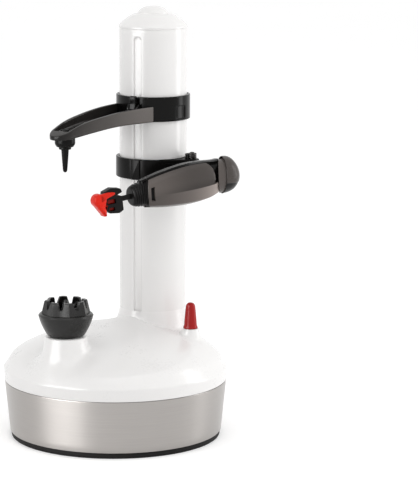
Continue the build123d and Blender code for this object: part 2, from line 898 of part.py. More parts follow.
with BuildPart() as arm_frame:
    for station, half_width, half_height in arm_stations:
        inner_width = half_width - cover_thickness
        inner_height = half_height - cover_thickness
        with BuildSketch(arm_plane(station)):
            Polygon(
                *scaled(covered, inner_width, inner_height),
                *scaled(covered[-1:], half_width, half_height),
                *scaled(bare, half_width, half_height),
                *scaled(covered[:1], half_width, half_height),
            )
    loft(ruled=True)
    # Hinge eye between the lugs of the carriage, and the web that joins it to the body.
    eye_low = carriage_z + lug_thickness + 0.3
    eye_height = carriage_height - 2 * lug_thickness - 0.6
    with BuildSketch(Plane.XY.offset(eye_low)):
        with Locations((pivot_x, pivot_y)):
            Circle(lug_r - 0.1)
    extrude(amount=eye_height)
    web_dir = Vector(56 - pivot_x, 27 - pivot_y, 0).normalized()
    web_plane = Plane(
        origin=(pivot_x, pivot_y, 0), x_dir=web_dir, z_dir=web_dir.cross(Vector(0, 0, 1))
    )
    with BuildSketch(web_plane):
        Polygon(
            (0, eye_low),
            (7.5, eye_low),
            (14, 177.5),
            (25, 173.5),
            (25, 196.0),
            (14, 195.0),
            (7.5, eye_low + eye_height),
            (0, eye_low + eye_height),
        )
    extrude(amount=4, both=True)
    with BuildSketch(Plane.XY.offset(eye_low - 12)):
        with Locations((pivot_x, pivot_y)):
            Circle(pivot_pin_r + 0.07)
    extrude(amount=30, mode=Mode.SUBTRACT)
    # Bores of the knob's stem, its spring and the blade shaft.
    revolve(arm_section([(-3, 0), (18, 0), (18, 4.0), (-3, 4.0)]), axis=arm_line, mode=Mode.SUBTRACT)
    revolve(arm_section([(-3, 0), (7, 0), (7, 6.2), (-3, 6.2)]), axis=arm_line, mode=Mode.SUBTRACT)
    shaft_bore_r = blade_shaft_r + running_gap
    revolve(
        arm_section([(36, 0), (62, 0), (62, shaft_bore_r), (36, shaft_bore_r)]),
        axis=arm_line,
        mode=Mode.SUBTRACT,
    )
arm_frame.part.label = "arm_frame"
export_step(arm_frame.part, "parts/arm_frame.step")


# Grey cover: faceted shell on the outer side. Below the crease it runs back into the knob's
# skirt, above it ends in a rounded edge, and near the nose it has a narrow window.
with BuildPart() as arm_cover:
    for station, half_width, half_height in arm_stations:
        inner_width = half_width - cover_thickness
        inner_height = half_height - cover_thickness
        with BuildSketch(arm_plane(station)):
            Polygon(
                *scaled(covered, half_width, half_height),
                *reversed(scaled(covered, inner_width, inner_height)),
            )
    loft(ruled=True)
    # The thumb recess: everything above the crease behind a rounded line is cut away.
    with BuildSketch(arm_side):
        with BuildLine():
            Polyline((-2, -4.8), (5.4, -4.8), (5.4, 1))
            ThreePointArc((5.4, 1), (7.4, 8.2), (15.5, 13.2))
            Polyline((15.5, 13.2), (15.5, 20), (-2, 20), (-2, -4.8))
        make_face()
    extrude(amount=-20, mode=Mode.SUBTRACT)
    with BuildSketch(arm_side):
        with Locations((57.6, -0.2)):
            Rectangle(2.8, 9.8)
    extrude(amount=-20, mode=Mode.SUBTRACT)
arm_cover.part.label = "arm_cover"
export_step(arm_cover.part, "parts/arm_cover.step")


# Ribbed nose collar: a turned bell with a row of grooves.
rib_count = 5
rib_depth = 0.5
rib_pitch = 1.5
nose_front = arm_front_s + collar_length


def collar_radius(distance):
    """Outer radius of the nose collar, distance behind its front face."""
    return 4.2 + 4.1 * sin(pi / 2 * min(1.0, distance / 8)) ** 0.6


collar_outline = [(arm_front_s, shaft_bore_r), (arm_front_s, collar_radius(collar_length))]
for rib in range(rib_count):
    start = collar_length - 0.9 - rib * rib_pitch
    for step, depth in ((0, 0), (0.3, rib_depth), (0.7, rib_depth), (1.0, 0)):
        distance = start - step
        collar_outline.append((nose_front - distance, collar_radius(distance) - depth))
for distance in (1.2, 0.5, 0.15, 0.0):
    collar_outline.append((nose_front - distance, collar_radius(distance)))
collar_outline.append((nose_front, shaft_bore_r))
with BuildPart() as nose_collar:
    revolve(arm_section(collar_outline), axis=arm_line)
nose_collar.part.label = "nose_collar"
export_step(nose_collar.part, "parts/nose_collar.step")


# Release knob: domed end of the arm, hollow skirt over the frame's neck, guided stem.
with BuildPart() as release_knob:
    with BuildSketch(arm_side):
        with BuildLine():
            Polyline((14, 0), (14, 3.7), (-5.5, 3.7), (-5.5, 11.4), (0.8, 11.4), (0.8, 12.0))
            Line((0.8, 12.0), (0.2, knob_r))
            Line((0.2, knob_r), (-3.2, knob_r))
            ThreePointArc((-3.2, knob_r), (-10.6, 9.0), (-14.2, 2.0))
            Polyline((-14.2, 2.0), (-14.2, 0), (14, 0))
        make_face()
    revolve(axis=arm_line)
release_knob.part.label = "release_knob"
export_step(release_knob.part, "parts/release_knob.step")


# ================================================================ blade head
with BuildPart() as blade_shaft:
    revolve(
        arm_section([(38, 0), (38, blade_shaft_r), (78, blade_shaft_r), (78, 0)]), axis=arm_line
    )
blade_shaft.part.label = "blade_shaft"
export_step(blade_shaft.part, "parts/blade_shaft.step")


# Clevis: a flat holder with an upper prong, two windows and the slots behind them, open in
# front, that the tongues of the blade carrier slide into.
clevis_half = 3.0
# Height of the middle, slot height, and where the window behind it starts and ends.
tongues = ((0.0, 3.2, 83.3, 89.6), (-5.2, 2.4, 84.6, 88.6))
tongue_play = 0.05
tongue_half = 1.3
tongue_front = 93.4
with BuildPart() as blade_clevis:
    with BuildSketch(arm_side):
        Polygon(
            (78.5, 7.6),
            (77.7, 5.0),
            (82.6, 3.4),
            (78.0, 2.4),
            (78.0, -7.4),
            (81.5, -9.0),
            (88.8, -7.8),
            (91.2, -5.0),
            (91.4, 7.4),
            (85.1, 9.2),
        )
    extrude(amount=clevis_half, both=True)
    for middle, height, rear, front in tongues:
        with BuildSketch(arm_side):
            with Locations(((rear + front) / 2, middle)):
                Rectangle(front - rear, height)
        extrude(amount=clevis_half + 1, both=True, mode=Mode.SUBTRACT)
        with BuildSketch(arm_side):
            with Locations(((rear + tongue_front) / 2, middle)):
                Rectangle(tongue_front - rear, height)
        extrude(amount=tongue_half, both=True, mode=Mode.SUBTRACT)
blade_clevis.part.label = "blade_clevis"
export_step(blade_clevis.part, "parts/blade_clevis.step")


# Red blade carrier: rounded toe with a slim upper wing beside the clevis and a lower wing,
# and two tongues that show in the clevis windows.
toe_s = 95.4
toe_q = 2.3
with BuildPart() as blade_guard:
    with BuildSketch(arm_side.offset(-5.0)):
        with Locations((toe_s, toe_q)):
            Circle(4.6)
        Polygon((98.4, -1.4), (93.8, -9.0), (91.6, -8.4), (91.6, 2.0), (95.4, 3.0))
    extrude(amount=8.0)
    with BuildSketch(arm_side.offset(-3.1)):
        with Locations((86.6, 0)):
            Rectangle(9.8, 24)
    extrude(amount=12, mode=Mode.SUBTRACT)
    # Upper wing over the clevis, and the tongues in its slots.
    with BuildSketch(arm_side.offset(-5.0)):
        Polygon(
            (toe_s, 6.9),
            (88.8, 7.1),
            (84.2, 6.3),
            (84.0, 5.0),
            (90.4, 3.2),
            (93.4, 1.4),
            (toe_s, 1.4),
        )
    extrude(amount=1.9)
    for middle, height, rear, _ in tongues:
        with BuildSketch(arm_side):
            with Locations(((rear + tongue_front) / 2, middle)):
                Rectangle(tongue_front - rear - 2 * tongue_play, height - 2 * tongue_play)
        extrude(amount=tongue_half - tongue_play, both=True)
blade_guard.part.label = "blade_guard"
export_step(blade_guard.part, "parts/blade_guard.step")


# Steel cutting strip on the food side, bevelled at its front edge, and its rivet.
with BuildPart() as blade_strip:
    with BuildSketch(arm_side.offset(clevis_half + 0.02)):
        Polygon((81.2, -5.6), (91.3, -6.8), (91.3, 7.2), (81.2, 6.6))
        with Locations((83.0, 0.6)):
            Circle(1.1, mode=Mode.SUBTRACT)
    extrude(amount=0.6)
    bevel = blade_strip.faces().sort_by(Axis(arm_rear, arm_axis))[-1]
    chamfer(bevel.edges().sort_by(Axis(arm_rear, arm_out))[0], length=0.45)
blade_strip.part.label = "blade_strip"
export_step(blade_strip.part, "parts/blade_strip.step")


with BuildPart() as blade_rivet:
    with BuildSketch(arm_side.offset(clevis_half + 0.63)):
        with Locations((83.0, 0.6)):
            Circle(1.9)
    extrude(amount=0.7)
    with BuildSketch(arm_side.offset(clevis_half + 0.02)):
        with Locations((83.0, 0.6)):
            Circle(1.1)
    extrude(amount=0.7)
blade_rivet.part.label = "blade_rivet"
export_step(blade_rivet.part, "parts/blade_rivet.step")


# ================================================================ upper food arm
# Collar with key, recessed grip panel and the cheeks of the catch.
catch_r = 29.6
catch_z = 229.5
catch_pin_r = 1.2
# Local x runs outward from the column axis through the groove, local y upwards.
catch_plane = Plane(origin=(0, tower_y, 0), x_dir=groove_dir, z_dir=groove_side * -1)

with BuildPart() as upper_collar:
    with BuildSketch(Plane.XY.offset(collar_z)):
        with Locations((0, tower_y)):
            Circle(collar_r)
    extrude(amount=collar_height)
    chamfer(upper_collar.edges().filter_by(GeomType.CIRCLE), length=0.7)
    with BuildSketch(Plane.YZ.offset(collar_r - 0.8)):
        with Locations((tower_y - 1, collar_z + 6)):
            RectangleRounded(10, 9, 1.5)
    extrude(amount=4, mode=Mode.SUBTRACT)
    for side in (-4.2, 2.6):
        with BuildSketch(catch_plane.offset(side)):
            Polygon(
                (25, 224.6), (29.5, 224.6), (31.8, 228), (31.8, 231.2), (29.6, 233.4), (25, 233.4)
            )
        extrude(amount=1.6)
    with BuildSketch(catch_plane.offset(-5)):
        with Locations((catch_r, catch_z)):
            Circle(catch_pin_r)
    extrude(amount=10, mode=Mode.SUBTRACT)
    with BuildSketch(Plane.XY.offset(collar_z - 1)):
        with Locations((0, tower_y)):
            Circle(ring_bore_r)
    extrude(amount=collar_height + 2, mode=Mode.SUBTRACT)
    with BuildSketch(groove_plane.offset(key_inner_r)):
        with Locations((0, collar_z + 1.2), (0, collar_top - 1.6)):
            Rectangle(key_width, 2.4)
    extrude(amount=2)
    with BuildSketch(groove_plane.offset(23)):
        with Locations((0, catch_z - 1.6)):
            Rectangle(5.0, 8.4)
    extrude(amount=4, mode=Mode.SUBTRACT)
upper_collar.part.label = "upper_collar"
export_step(upper_collar.part, "parts/upper_collar.step")


# Catch lever: thumb pad above, friction shoe below that presses on the column.
with BuildPart() as latch_lever:
    with BuildSketch(catch_plane):
        with BuildLine():
            Polyline((28.3, 239.0), (30.7, 239.6), (31.6, 238.6), (31.0, 233.5))
            ThreePointArc((31.0, 233.5), (31.9, 230.6), (31.4, 227.6))
            Polyline(
                (31.4, 227.6),
                (27.6, 225.7),
                (24.25, 225.7),
                (24.25, 228.2),
                (27.0, 229.2),
                (27.8, 233.0),
                (28.3, 239.0),
            )
        make_face()
        with Locations((catch_r, catch_z)):
            Circle(catch_pin_r + 0.06, mode=Mode.SUBTRACT)
    extrude(amount=2.1, both=True)
latch_lever.part.label = "latch_lever"
export_step(latch_lever.part, "parts/latch_lever.step")


with BuildPart() as latch_pin:
    with BuildSketch(catch_plane):
        with Locations((catch_r, catch_z)):
            Circle(catch_pin_r)
    extrude(amount=4.6, both=True)
latch_pin.part.label = "latch_pin"
export_step(latch_pin.part, "parts/latch_pin.step")


# Upper arm: an open trough that narrows to a rounded nose over the food.
arm_root_y = 26.0
trough_root_half = 17.9
trough_nose_half = 8.8
trough_nose_y = -52.5
nose_front_y = -62.5
trough_wall = 2.2


def trough_plan(inset):
    """Outline of the trough from above, drawn in by inset."""
    with BuildSketch(Plane.XY.offset(200)) as outline:
        with BuildLine():
            Polyline(
                (-trough_nose_half + inset, trough_nose_y),
                (-trough_root_half + inset, arm_root_y),
                (trough_root_half - inset, arm_root_y),
                (trough_nose_half - inset, trough_nose_y),
            )
            ThreePointArc(
                (trough_nose_half - inset, trough_nose_y),
                (0, nose_front_y + inset),
                (-trough_nose_half + inset, trough_nose_y),
            )
        make_face()
    return outline.sketch


with BuildPart() as trough_hollow:
    extrude(trough_plan(trough_wall), amount=50)
    with BuildSketch(Plane.YZ):
        Polygon(
            (arm_root_y, 250),
            (arm_root_y, 223.4),
            (-16, 222.6),
            (-38, 220.2),
            (-50, 218.6),
            (-55.5, 218.8),
            (-55.5, 250),
        )
    extrude(amount=20, both=True, mode=Mode.INTERSECT)

with BuildPart() as upper_arm:
    extrude(trough_plan(0), amount=50)
    with BuildSketch(Plane.YZ):
        with BuildLine():
            top_edge = Spline(
                (arm_root_y, 231.9), (-1, 231.0), (-22, 228.8), (-43, 225.0), (-63, 217.6)
            )
            Polyline(top_edge @ 1, (-63, 214.8), (-50, 216.0))
            low_edge = Spline((-50, 216.0), (-38, 217.6), (-16, 220.1), (arm_root_y, 221.0))
            Line(low_edge @ 1, top_edge @ 0)
        make_face()
    extrude(amount=20, both=True, mode=Mode.INTERSECT)
    add(trough_hollow.part, mode=Mode.SUBTRACT)
    with BuildSketch(Plane.XY.offset(215.2)):
        with Locations((0, spindle_y)):
            Circle(spike_bush_r)
    extrude(amount=2)
    with BuildSketch(Plane.XY.offset(collar_z - 4)):
        with Locations((0, tower_y)):
            Circle(collar_r + 0.04)
    extrude(amount=30, mode=Mode.SUBTRACT)
    with BuildSketch(Plane.XY.offset(205)):
        with Locations((0, spindle_y)):
            Circle(4.9)
    extrude(amount=30, mode=Mode.SUBTRACT)
upper_arm.part.label = "upper_arm"
export_step(upper_arm.part, "parts/upper_arm.step")


# Bush pressed into the nose, with the turning spike in it.
bush_top_z = 219.8
with BuildPart() as spike_bush:
    revolve(
        half_section(
            [
                (spike_r + running_gap, 209.6),
                (5.6, 209.6),
                (spike_bush_r, 211.4),
                (spike_bush_r, 215.2),
                (4.9, 215.2),
                (4.9, bush_top_z),
                (spike_r + running_gap, bush_top_z),
            ],
            0,
            spindle_y,
        ),
        axis=upright(0, spindle_y),
    )
spike_bush.part.label = "spike_bush"
export_step(spike_bush.part, "parts/spike_bush.step")


with BuildPart() as top_spike:
    revolve(
        half_section(
            [
                (0, 192),
                (1.5, 193.4),
                (2.6, 207.6),
                (4.2, 208.0),
                (4.2, 209.5),
                (spike_r, 209.5),
                (spike_r, bush_top_z + 0.1),
                (2.4, bush_top_z + 0.1),
                (2.4, bush_top_z + 0.9),
                (spike_r, bush_top_z + 0.9),
                (spike_r, bush_top_z + 1.6),
                (0, bush_top_z + 1.6),
            ],
            0,
            spindle_y,
        ),
        axis=upright(0, spindle_y),
    )
top_spike.part.label = "top_spike"
export_step(top_spike.part, "parts/top_spike.step")


with BuildPart() as spike_clip:
    with BuildSketch(Plane.XY.offset(bush_top_z + 0.1)):
        with Locations((0, spindle_y)):
            Circle(4.4)
            Circle(2.4, mode=Mode.SUBTRACT)
            with Locations((0, 3.5)):
                Rectangle(2.6, 4, mode=Mode.SUBTRACT)
    extrude(amount=0.8)
spike_clip.part.label = "spike_clip"
export_step(spike_clip.part, "parts/spike_clip.step")


# ================================================================ button
# Red cone that is pulled up to start and pushed down to stop, on a stem into the switch.
with BuildPart() as red_button:
    with BuildSketch(Plane(origin=(button_x, button_y, 0), x_dir=(1, 0, 0), z_dir=(0, -1, 0))):
        with BuildLine():
            Polyline(
                (0, 52.0),
                (2.2, 52.0),
                (2.2, button_seat_z + 0.1),
                (5.1, button_seat_z + 0.1),
                (5.1, 77.3),
                (4.7, 77.9),
                (3.2, 93.2),
            )
            ThreePointArc((3.2, 93.2), (2.5, 94.2), (1.2, 94.6))
            Polyline((1.2, 94.6), (0, 94.6), (0, 52.0))
        make_face()
    revolve(axis=upright(button_x, button_y))
red_button.part.label = "red_button"
export_step(red_button.part, "parts/red_button.step")
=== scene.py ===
import math

import bmesh
import bpy
import numpy as np
from mathutils import Matrix, Vector
from mathutils.geometry import delaunay_2d_cdt


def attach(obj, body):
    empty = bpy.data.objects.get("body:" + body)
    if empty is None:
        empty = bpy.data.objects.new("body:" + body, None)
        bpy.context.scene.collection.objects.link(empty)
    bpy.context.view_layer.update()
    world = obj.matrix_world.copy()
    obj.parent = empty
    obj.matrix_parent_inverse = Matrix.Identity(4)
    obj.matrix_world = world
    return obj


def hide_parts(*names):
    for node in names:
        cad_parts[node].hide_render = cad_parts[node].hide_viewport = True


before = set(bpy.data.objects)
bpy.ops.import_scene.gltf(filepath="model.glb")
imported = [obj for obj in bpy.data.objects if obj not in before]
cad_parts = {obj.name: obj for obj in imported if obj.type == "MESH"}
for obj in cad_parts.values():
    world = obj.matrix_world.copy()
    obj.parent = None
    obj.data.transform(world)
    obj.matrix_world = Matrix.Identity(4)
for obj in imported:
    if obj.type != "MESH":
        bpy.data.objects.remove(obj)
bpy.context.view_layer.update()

# Electric potato peeler. Shapes are worked out in millimetres and built in metres.
mm = 0.001
columnY = 40.0
spindleY = -51.0
buttonX, buttonY = 42.0, 32.0
columnR = 23.8
grooveAngle = math.radians(13.5)  # from -Y towards +X
slotAngle = math.radians(193.5)
carriageLow, carriageHigh = 180.0, 194.4
collarLow, collarHigh = 221.0, 238.3


def unit(vector):
    vector = np.array(vector, float)
    return vector / np.linalg.norm(vector)


def frameFrom(origin, xAxis, yAxis):
    # origin and three axes as rows; the third is square to the other two
    xAxis, yAxis = unit(xAxis), unit(yAxis)
    return np.array([origin, xAxis, yAxis, np.cross(xAxis, yAxis)], float)


def uprightAt(x, y):
    return frameFrom((x, y, 0), (1, 0, 0), (0, 1, 0))


def outwardAt(angle):
    # x runs outward from the column's axis at that angle, y runs up
    return frameFrom((0, columnY, 0), (math.sin(angle), -math.cos(angle), 0), (0, 0, 1))


def facingAt(angle):
    # x runs round the column, y runs up, z runs outward
    return frameFrom((0, columnY, 0), (math.cos(angle), math.sin(angle), 0), (0, 0, 1))


armYaw, armDroop = math.radians(19.8), math.radians(7.3)
armRear = np.array([61.5, 39.0, 185.5])
armAxis = np.array([-math.sin(armYaw) * math.cos(armDroop), -math.cos(armYaw) * math.cos(armDroop),
                    -math.sin(armDroop)])
armOut = np.array([math.cos(armYaw), -math.sin(armYaw), 0.0])
armUp = np.cross(armAxis, armOut)
alongArm = frameFrom(armRear, armOut, armUp)  # z runs forward along the arm
besideArm = frameFrom(armRear, armAxis, armUp)  # x forward, y up, z towards the food


# Shapes: a pair of points (rows of x, y, z in millimetres) and a list of face arrays.
def placed(shape, base=None):
    # from the shape's own axes into the machine's; without a base it stays as it is
    points, faces = shape
    return shape if base is None else (points @ base[1:] + base[0], faces)


def roundAxis(radius, turn, height, y=0.0):
    # points at a distance and an angle round an upright axis, each at its height
    return np.stack([radius * np.cos(turn), y + radius * np.sin(turn), height + 0 * turn], -1)



def outward(points, faces):
    # six times the volume inside; a negative one means the faces look inwards
    volume = 0.0
    for corners in faces:
        for k in range(1, corners.shape[1] - 1):
            a, b, c = (points[corners[:, j]] for j in (0, k, k + 1))
            volume += np.sum(a * np.cross(b, c))
    return points, faces if volume > 0 else [corners[:, ::-1] for corners in faces]


def softPath(corners, radius=0.6, closed=True, steps=5):
    # each corner becomes a short parabola between a point on the side before and one on the side after
    spot = np.array([corner[:2] for corner in corners], float)
    reach = np.array([corner[2] if len(corner) > 2 else radius for corner in corners], float)
    if not closed:
        reach[[0, -1]] = 0
    before, after = np.roll(spot, 1, 0) - spot, np.roll(spot, -1, 0) - spot
    longBefore = np.linalg.norm(before, axis=1) + 1e-9
    longAfter = np.linalg.norm(after, axis=1) + 1e-9
    start = spot + before * (np.minimum(reach, 0.45 * longBefore) / longBefore)[:, None]
    end = spot + after * (np.minimum(reach, 0.45 * longAfter) / longAfter)[:, None]
    t = np.linspace(0, 1, steps)[None, :, None]
    path = (1 - t) ** 2 * start[:, None] + 2 * t * (1 - t) * spot[:, None] + t**2 * end[:, None]
    path = path.reshape(-1, 2)
    gap = np.linalg.norm(path - np.roll(path, 1, 0), axis=1)
    gap[0] = gap[0] if closed else 1
    return path[gap > 1e-4]


def softBox(left, right, low, high, radius):
    # rectangle with rounded corners
    return softPath([(left, low), (right, low), (right, high), (left, high)], radius)


def arcPath(centreX, centreY, radius, start, end, count):
    turn = np.radians(np.linspace(start, end, count))
    return np.stack([centreX + radius * np.cos(turn), centreY + radius * np.sin(turn)], 1)


def throughPoints(knots, count):
    # smooth curve through the knots: cubic pieces with slopes from the neighbours
    knots = np.array(knots, float)
    slope = np.gradient(knots, axis=0)
    at = np.linspace(0, len(knots) - 1, count)
    left = np.minimum(at.astype(int), len(knots) - 2)
    t = (at - left)[:, None]
    a, b, ma, mb = knots[left], knots[left + 1], slope[left], slope[left + 1]
    return (2 * t**3 - 3 * t**2 + 1) * a + (t**3 - 2 * t**2
                                            + t) * ma + (3 * t**2 - 2 * t**3) * b + (t**3 - t**2) * mb


def follow(knots, at):
    # value at each place, on a smooth curve through pairs of place and value
    places, values = np.array(knots, float).T
    slope = np.gradient(values, places)
    left = np.clip(np.searchsorted(places, at) - 1, 0, len(places) - 2)
    width = places[left + 1] - places[left]
    t = np.clip((at - places[left]) / width, 0, 1)
    rise = (3 * t**2 - 2 * t**3) * (values[left + 1] - values[left])
    return values[left] + rise + width * ((t**3 - 2 * t**2 + t) * slope[left]
                                          + (t**3 - t**2) * slope[left + 1])


def step01(value):
    # 0 below 0, 1 above 1, smooth between
    value = np.clip(value, 0, 1)
    return value * value * (3 - 2 * value)


def gridFaces(rows, columns, wrapRows=False, wrapColumns=True):
    # the four corners of every cell, with the points numbered row by row
    r = np.arange(rows if wrapRows else rows - 1)[:, None]
    c = np.arange(columns if wrapColumns else columns - 1)[None, :]
    nextR, nextC = (r + 1) % rows, (c + 1) % columns
    quads = [r * columns + c, r * columns + nextC, nextR * columns + nextC, nextR * columns + c]
    return np.stack([np.broadcast_to(q, (r.size, c.size)) for q in quads], -1).reshape(-1, 4)


def turned(profile, sides=96, base=None, angles=None, relief=None):
    # radius and height of the profile carried round the z axis; relief changes the radius from place
    # to place
    profile = np.array(profile, float)
    turn = np.linspace(0, 2 * math.pi, sides, endpoint=False) if angles is None else angles
    radius, height = profile[:, :1] + 0 * turn, profile[:, 1:2] + 0 * turn
    if relief is not None:
        radius = radius + relief(turn + 0 * radius, radius, height)
    onAxis = profile[0, 0] == 0
    faces = [gridFaces(len(profile), len(turn), wrapRows=not onAxis)]
    return placed(outward(roundAxis(radius, turn, height).reshape(-1, 3), faces), base)


def skin(rings, caps=True):
    # closed rings of points, one after the other, joined by quads and closed with a face at each end
    count, around = rings.shape[:2]
    faces = [gridFaces(count, around)]
    if caps:
        first = np.arange(around)[None, :]
        faces += [first[:, ::-1], first + (count - 1) * around]
    return outward(rings.reshape(-1, 3), faces)


def closedRows(rings):
    # closed rings of points whose last ring joins the first again
    return outward(rings.reshape(-1, 3), [gridFaces(len(rings), rings.shape[1], wrapRows=True)])


def levelRings(loops):
    # flat loops, each lifted to its own height
    return np.array([np.column_stack([loop, np.full(len(loop), z)]) for loop, z in loops])


def loopArea(loop):
    # twice the area inside, positive for a loop that runs counter-clockwise
    x, y = loop.T
    return np.sum(x * np.roll(y, -1) - y * np.roll(x, -1))


def drawnIn(outline, inset):
    # closed outline moved inwards, each corner along the mitre of its two sides
    ahead = np.roll(outline, -1, 0) - outline
    side = np.stack([ahead[:, 1], -ahead[:, 0]], 1) / np.linalg.norm(ahead, axis=1)[:, None]
    before = np.roll(side, 1, 0)
    mitre = (side + before) / (1.05 + np.sum(side * before, axis=1))[:, None]
    return outline - mitre * inset * np.sign(loopArea(outline))


def quarterRound(soft):
    # pairs of inset and lift, from the flat face out to the wall
    turn = np.linspace(0, math.pi / 2, 4)
    return list(zip(soft * (1 - np.sin(turn)), soft * (1 - np.cos(turn))))


def slab(outline, low, high, soft=0.4, base=None):
    # outline carried from low to high, with quarter rounds along both rims
    rim = quarterRound(soft)
    levels = [(i, low + h) for i, h in rim] + [(i, high - h) for i, h in rim[::-1]]
    return placed(skin(levelRings([(drawnIn(outline, i), z) for i, z in levels])), base)



def evenLoop(outline, count, centre):
    # closed outline cut at equal angles round a centre, so that two loops can be paired
    spots = outline - centre
    closed = np.vstack([spots, spots[:1]])
    angle = np.unwrap(np.arctan2(closed[:, 1], closed[:, 0]))
    if angle[-1] < angle[0]:
        closed, angle = closed[::-1], angle[::-1]
    wanted = angle[0] + (np.linspace(0, 2 * math.pi, count, endpoint=False) - angle[0]) % (2 * math.pi)
    return np.stack([np.interp(wanted, angle, closed[:, k]) for k in (0, 1)], 1) + centre


def ringSlab(outline, hole, low, high, soft=0.4, base=None, count=96):
    # slab with a hole: the rows go up the outside, over the rim, down the hole and back
    centre = hole.mean(0)
    outer, inner = evenLoop(outline, count, centre), evenLoop(hole, count, centre)
    rim = quarterRound(soft)
    rows = [(drawnIn(outer, i), low + h) for i, h in rim]
    rows += [(drawnIn(outer, i), high - h) for i, h in rim[::-1]]
    rows += [(drawnIn(inner, -i), high - h) for i, h in rim]
    rows += [(drawnIn(inner, -i), low + h) for i, h in rim[::-1]]
    return placed(closedRows(levelRings(rows)), base)



def shell(outer, inner, keep=None, wrap=True):
    # two grids, one inside the other: faces on both, and a wall along every edge where kept cells end
    rows, columns = outer.shape[:2]
    cells = columns if wrap else columns - 1
    keep = np.ones((rows - 1, cells), bool) if keep is None else keep
    index = np.arange(rows * columns).reshape(rows, columns)
    right = np.roll(index, -1, 1)
    a, b, c, d = (part[:, :cells] for part in (index[:-1], right[:-1], right[1:], index[1:]))
    below = np.vstack([np.zeros((1, cells), bool), keep[:-1]])
    above = np.vstack([keep[1:], np.zeros((1, cells), bool)])
    leftKept, rightKept = np.roll(keep, 1, 1), np.roll(keep, -1, 1)
    if not wrap:
        leftKept[:, 0] = rightKept[:, -1] = False
    total = rows * columns
    quads = np.stack([a, b, c, d], -1)[keep]
    faces = [quads, quads[:, ::-1] + total]
    for start, end, kept in ((a, b, below), (b, c, rightKept), (c, d, above), (d, a, leftKept)):
        edge = keep & ~kept
        p, q = start[edge], end[edge]
        faces.append(np.stack([q, p, p + total, q + total], 1))
    points = np.concatenate([outer.reshape(-1, 3), inner.reshape(-1, 3)])
    return outward(points, faces)


def pierced(outline, holes, low, high, softLow=0.0, softHigh=0.0, base=None):
    # plate between two heights with holes through it; softLow and softHigh round its outer rim
    levels = [(i, low + h) for i, h in quarterRound(softLow)[:: 1 if softLow else 3]]
    levels += [(i, high - h) for i, h in quarterRound(softHigh)[:: -1 if softHigh else -3]]
    points, faces, first, last, start = [], [], [], [], 0
    for number, loop in enumerate([outline] + holes):
        sign = 1 if number == 0 else -0.4  # a hole's rim is rounded less
        rings = levelRings([(drawnIn(loop, sign * inset), z) for inset, z in levels])
        count = len(loop)
        grid = gridFaces(len(rings), count)
        faces.append((grid if (loopArea(loop) > 0) == (number == 0) else grid[:, ::-1]) + start)
        points.append(rings.reshape(-1, 3))
        first.append(start + np.arange(count))
        last.append(start + (len(rings) - 1) * count + np.arange(count))
        start += rings.shape[0] * count
    points = np.concatenate(points)
    # both faces: triangles between the outline and the holes, those inside a hole left out
    for ends, upwards in ((first, False), (last, True)):
        index = np.concatenate(ends)
        sizes = np.cumsum([0] + [len(loop) for loop in ends])
        borders = []
        for a, b in zip(sizes[:-1], sizes[1:]):
            borders += [(k, k + 1 if k + 1 < b else a) for k in range(a, b)]
        flat = points[index, :2]
        spots, _, triangles, origin, _, _ = delaunay_2d_cdt([Vector(spot) for spot in flat], borders,
                                                            [], 0, 1e-6)
        spots = np.array([tuple(spot) for spot in spots])
        own = np.array([group[0] for group in origin])
        triangles = np.array(triangles)
        middle = spots[triangles].mean(1)
        kept = insideLoop(middle, flat[sizes[0]:sizes[1]])
        for a, b in zip(sizes[1:-1], sizes[2:]):
            kept &= ~insideLoop(middle, flat[a:b])
        corners = index[own[triangles[kept]]]
        a, b, c = (points[corners[:, k], :2] for k in range(3))
        leftward = (b - a)[:, 0] * (c - a)[:, 1] - (b - a)[:, 1] * (c - a)[:, 0] > 0
        corners[leftward != upwards] = corners[leftward != upwards][:, ::-1]
        faces.append(corners)
    return placed((points, faces), base)


def insideLoop(spots, loop):
    # a spot is inside when a line from it to the right crosses the loop an odd number of times
    x, y = spots[:, :1], spots[:, 1:]
    ax, ay = loop[:, 0], loop[:, 1]
    bx, by = np.roll(ax, -1), np.roll(ay, -1)
    rise = np.where(by == ay, 1e-12, by - ay)
    crosses = ((ay > y) != (by > y)) & (x < (bx - ax) * (y - ay) / rise + ax)
    return crosses.sum(1) % 2 == 1


def tube(path, radius, sides=12):
    # round wire along a path: a circle square to the path at each point, closed at both ends
    ahead = np.gradient(path, axis=0)
    ahead /= np.linalg.norm(ahead, axis=1)[:, None]
    side = np.cross(ahead, (0, 0, 1.0))
    side /= np.linalg.norm(side, axis=1)[:, None]
    up = np.cross(side, ahead)
    turn = np.linspace(0, 2 * math.pi, sides, endpoint=False)[None, :, None]
    return skin(path[:, None] + radius * (np.cos(turn) * side[:, None] + np.sin(turn) * up[:, None]))


def addObject(name, data):
    thing = bpy.data.objects.new(name, data)
    bpy.context.scene.collection.objects.link(thing)
    return thing


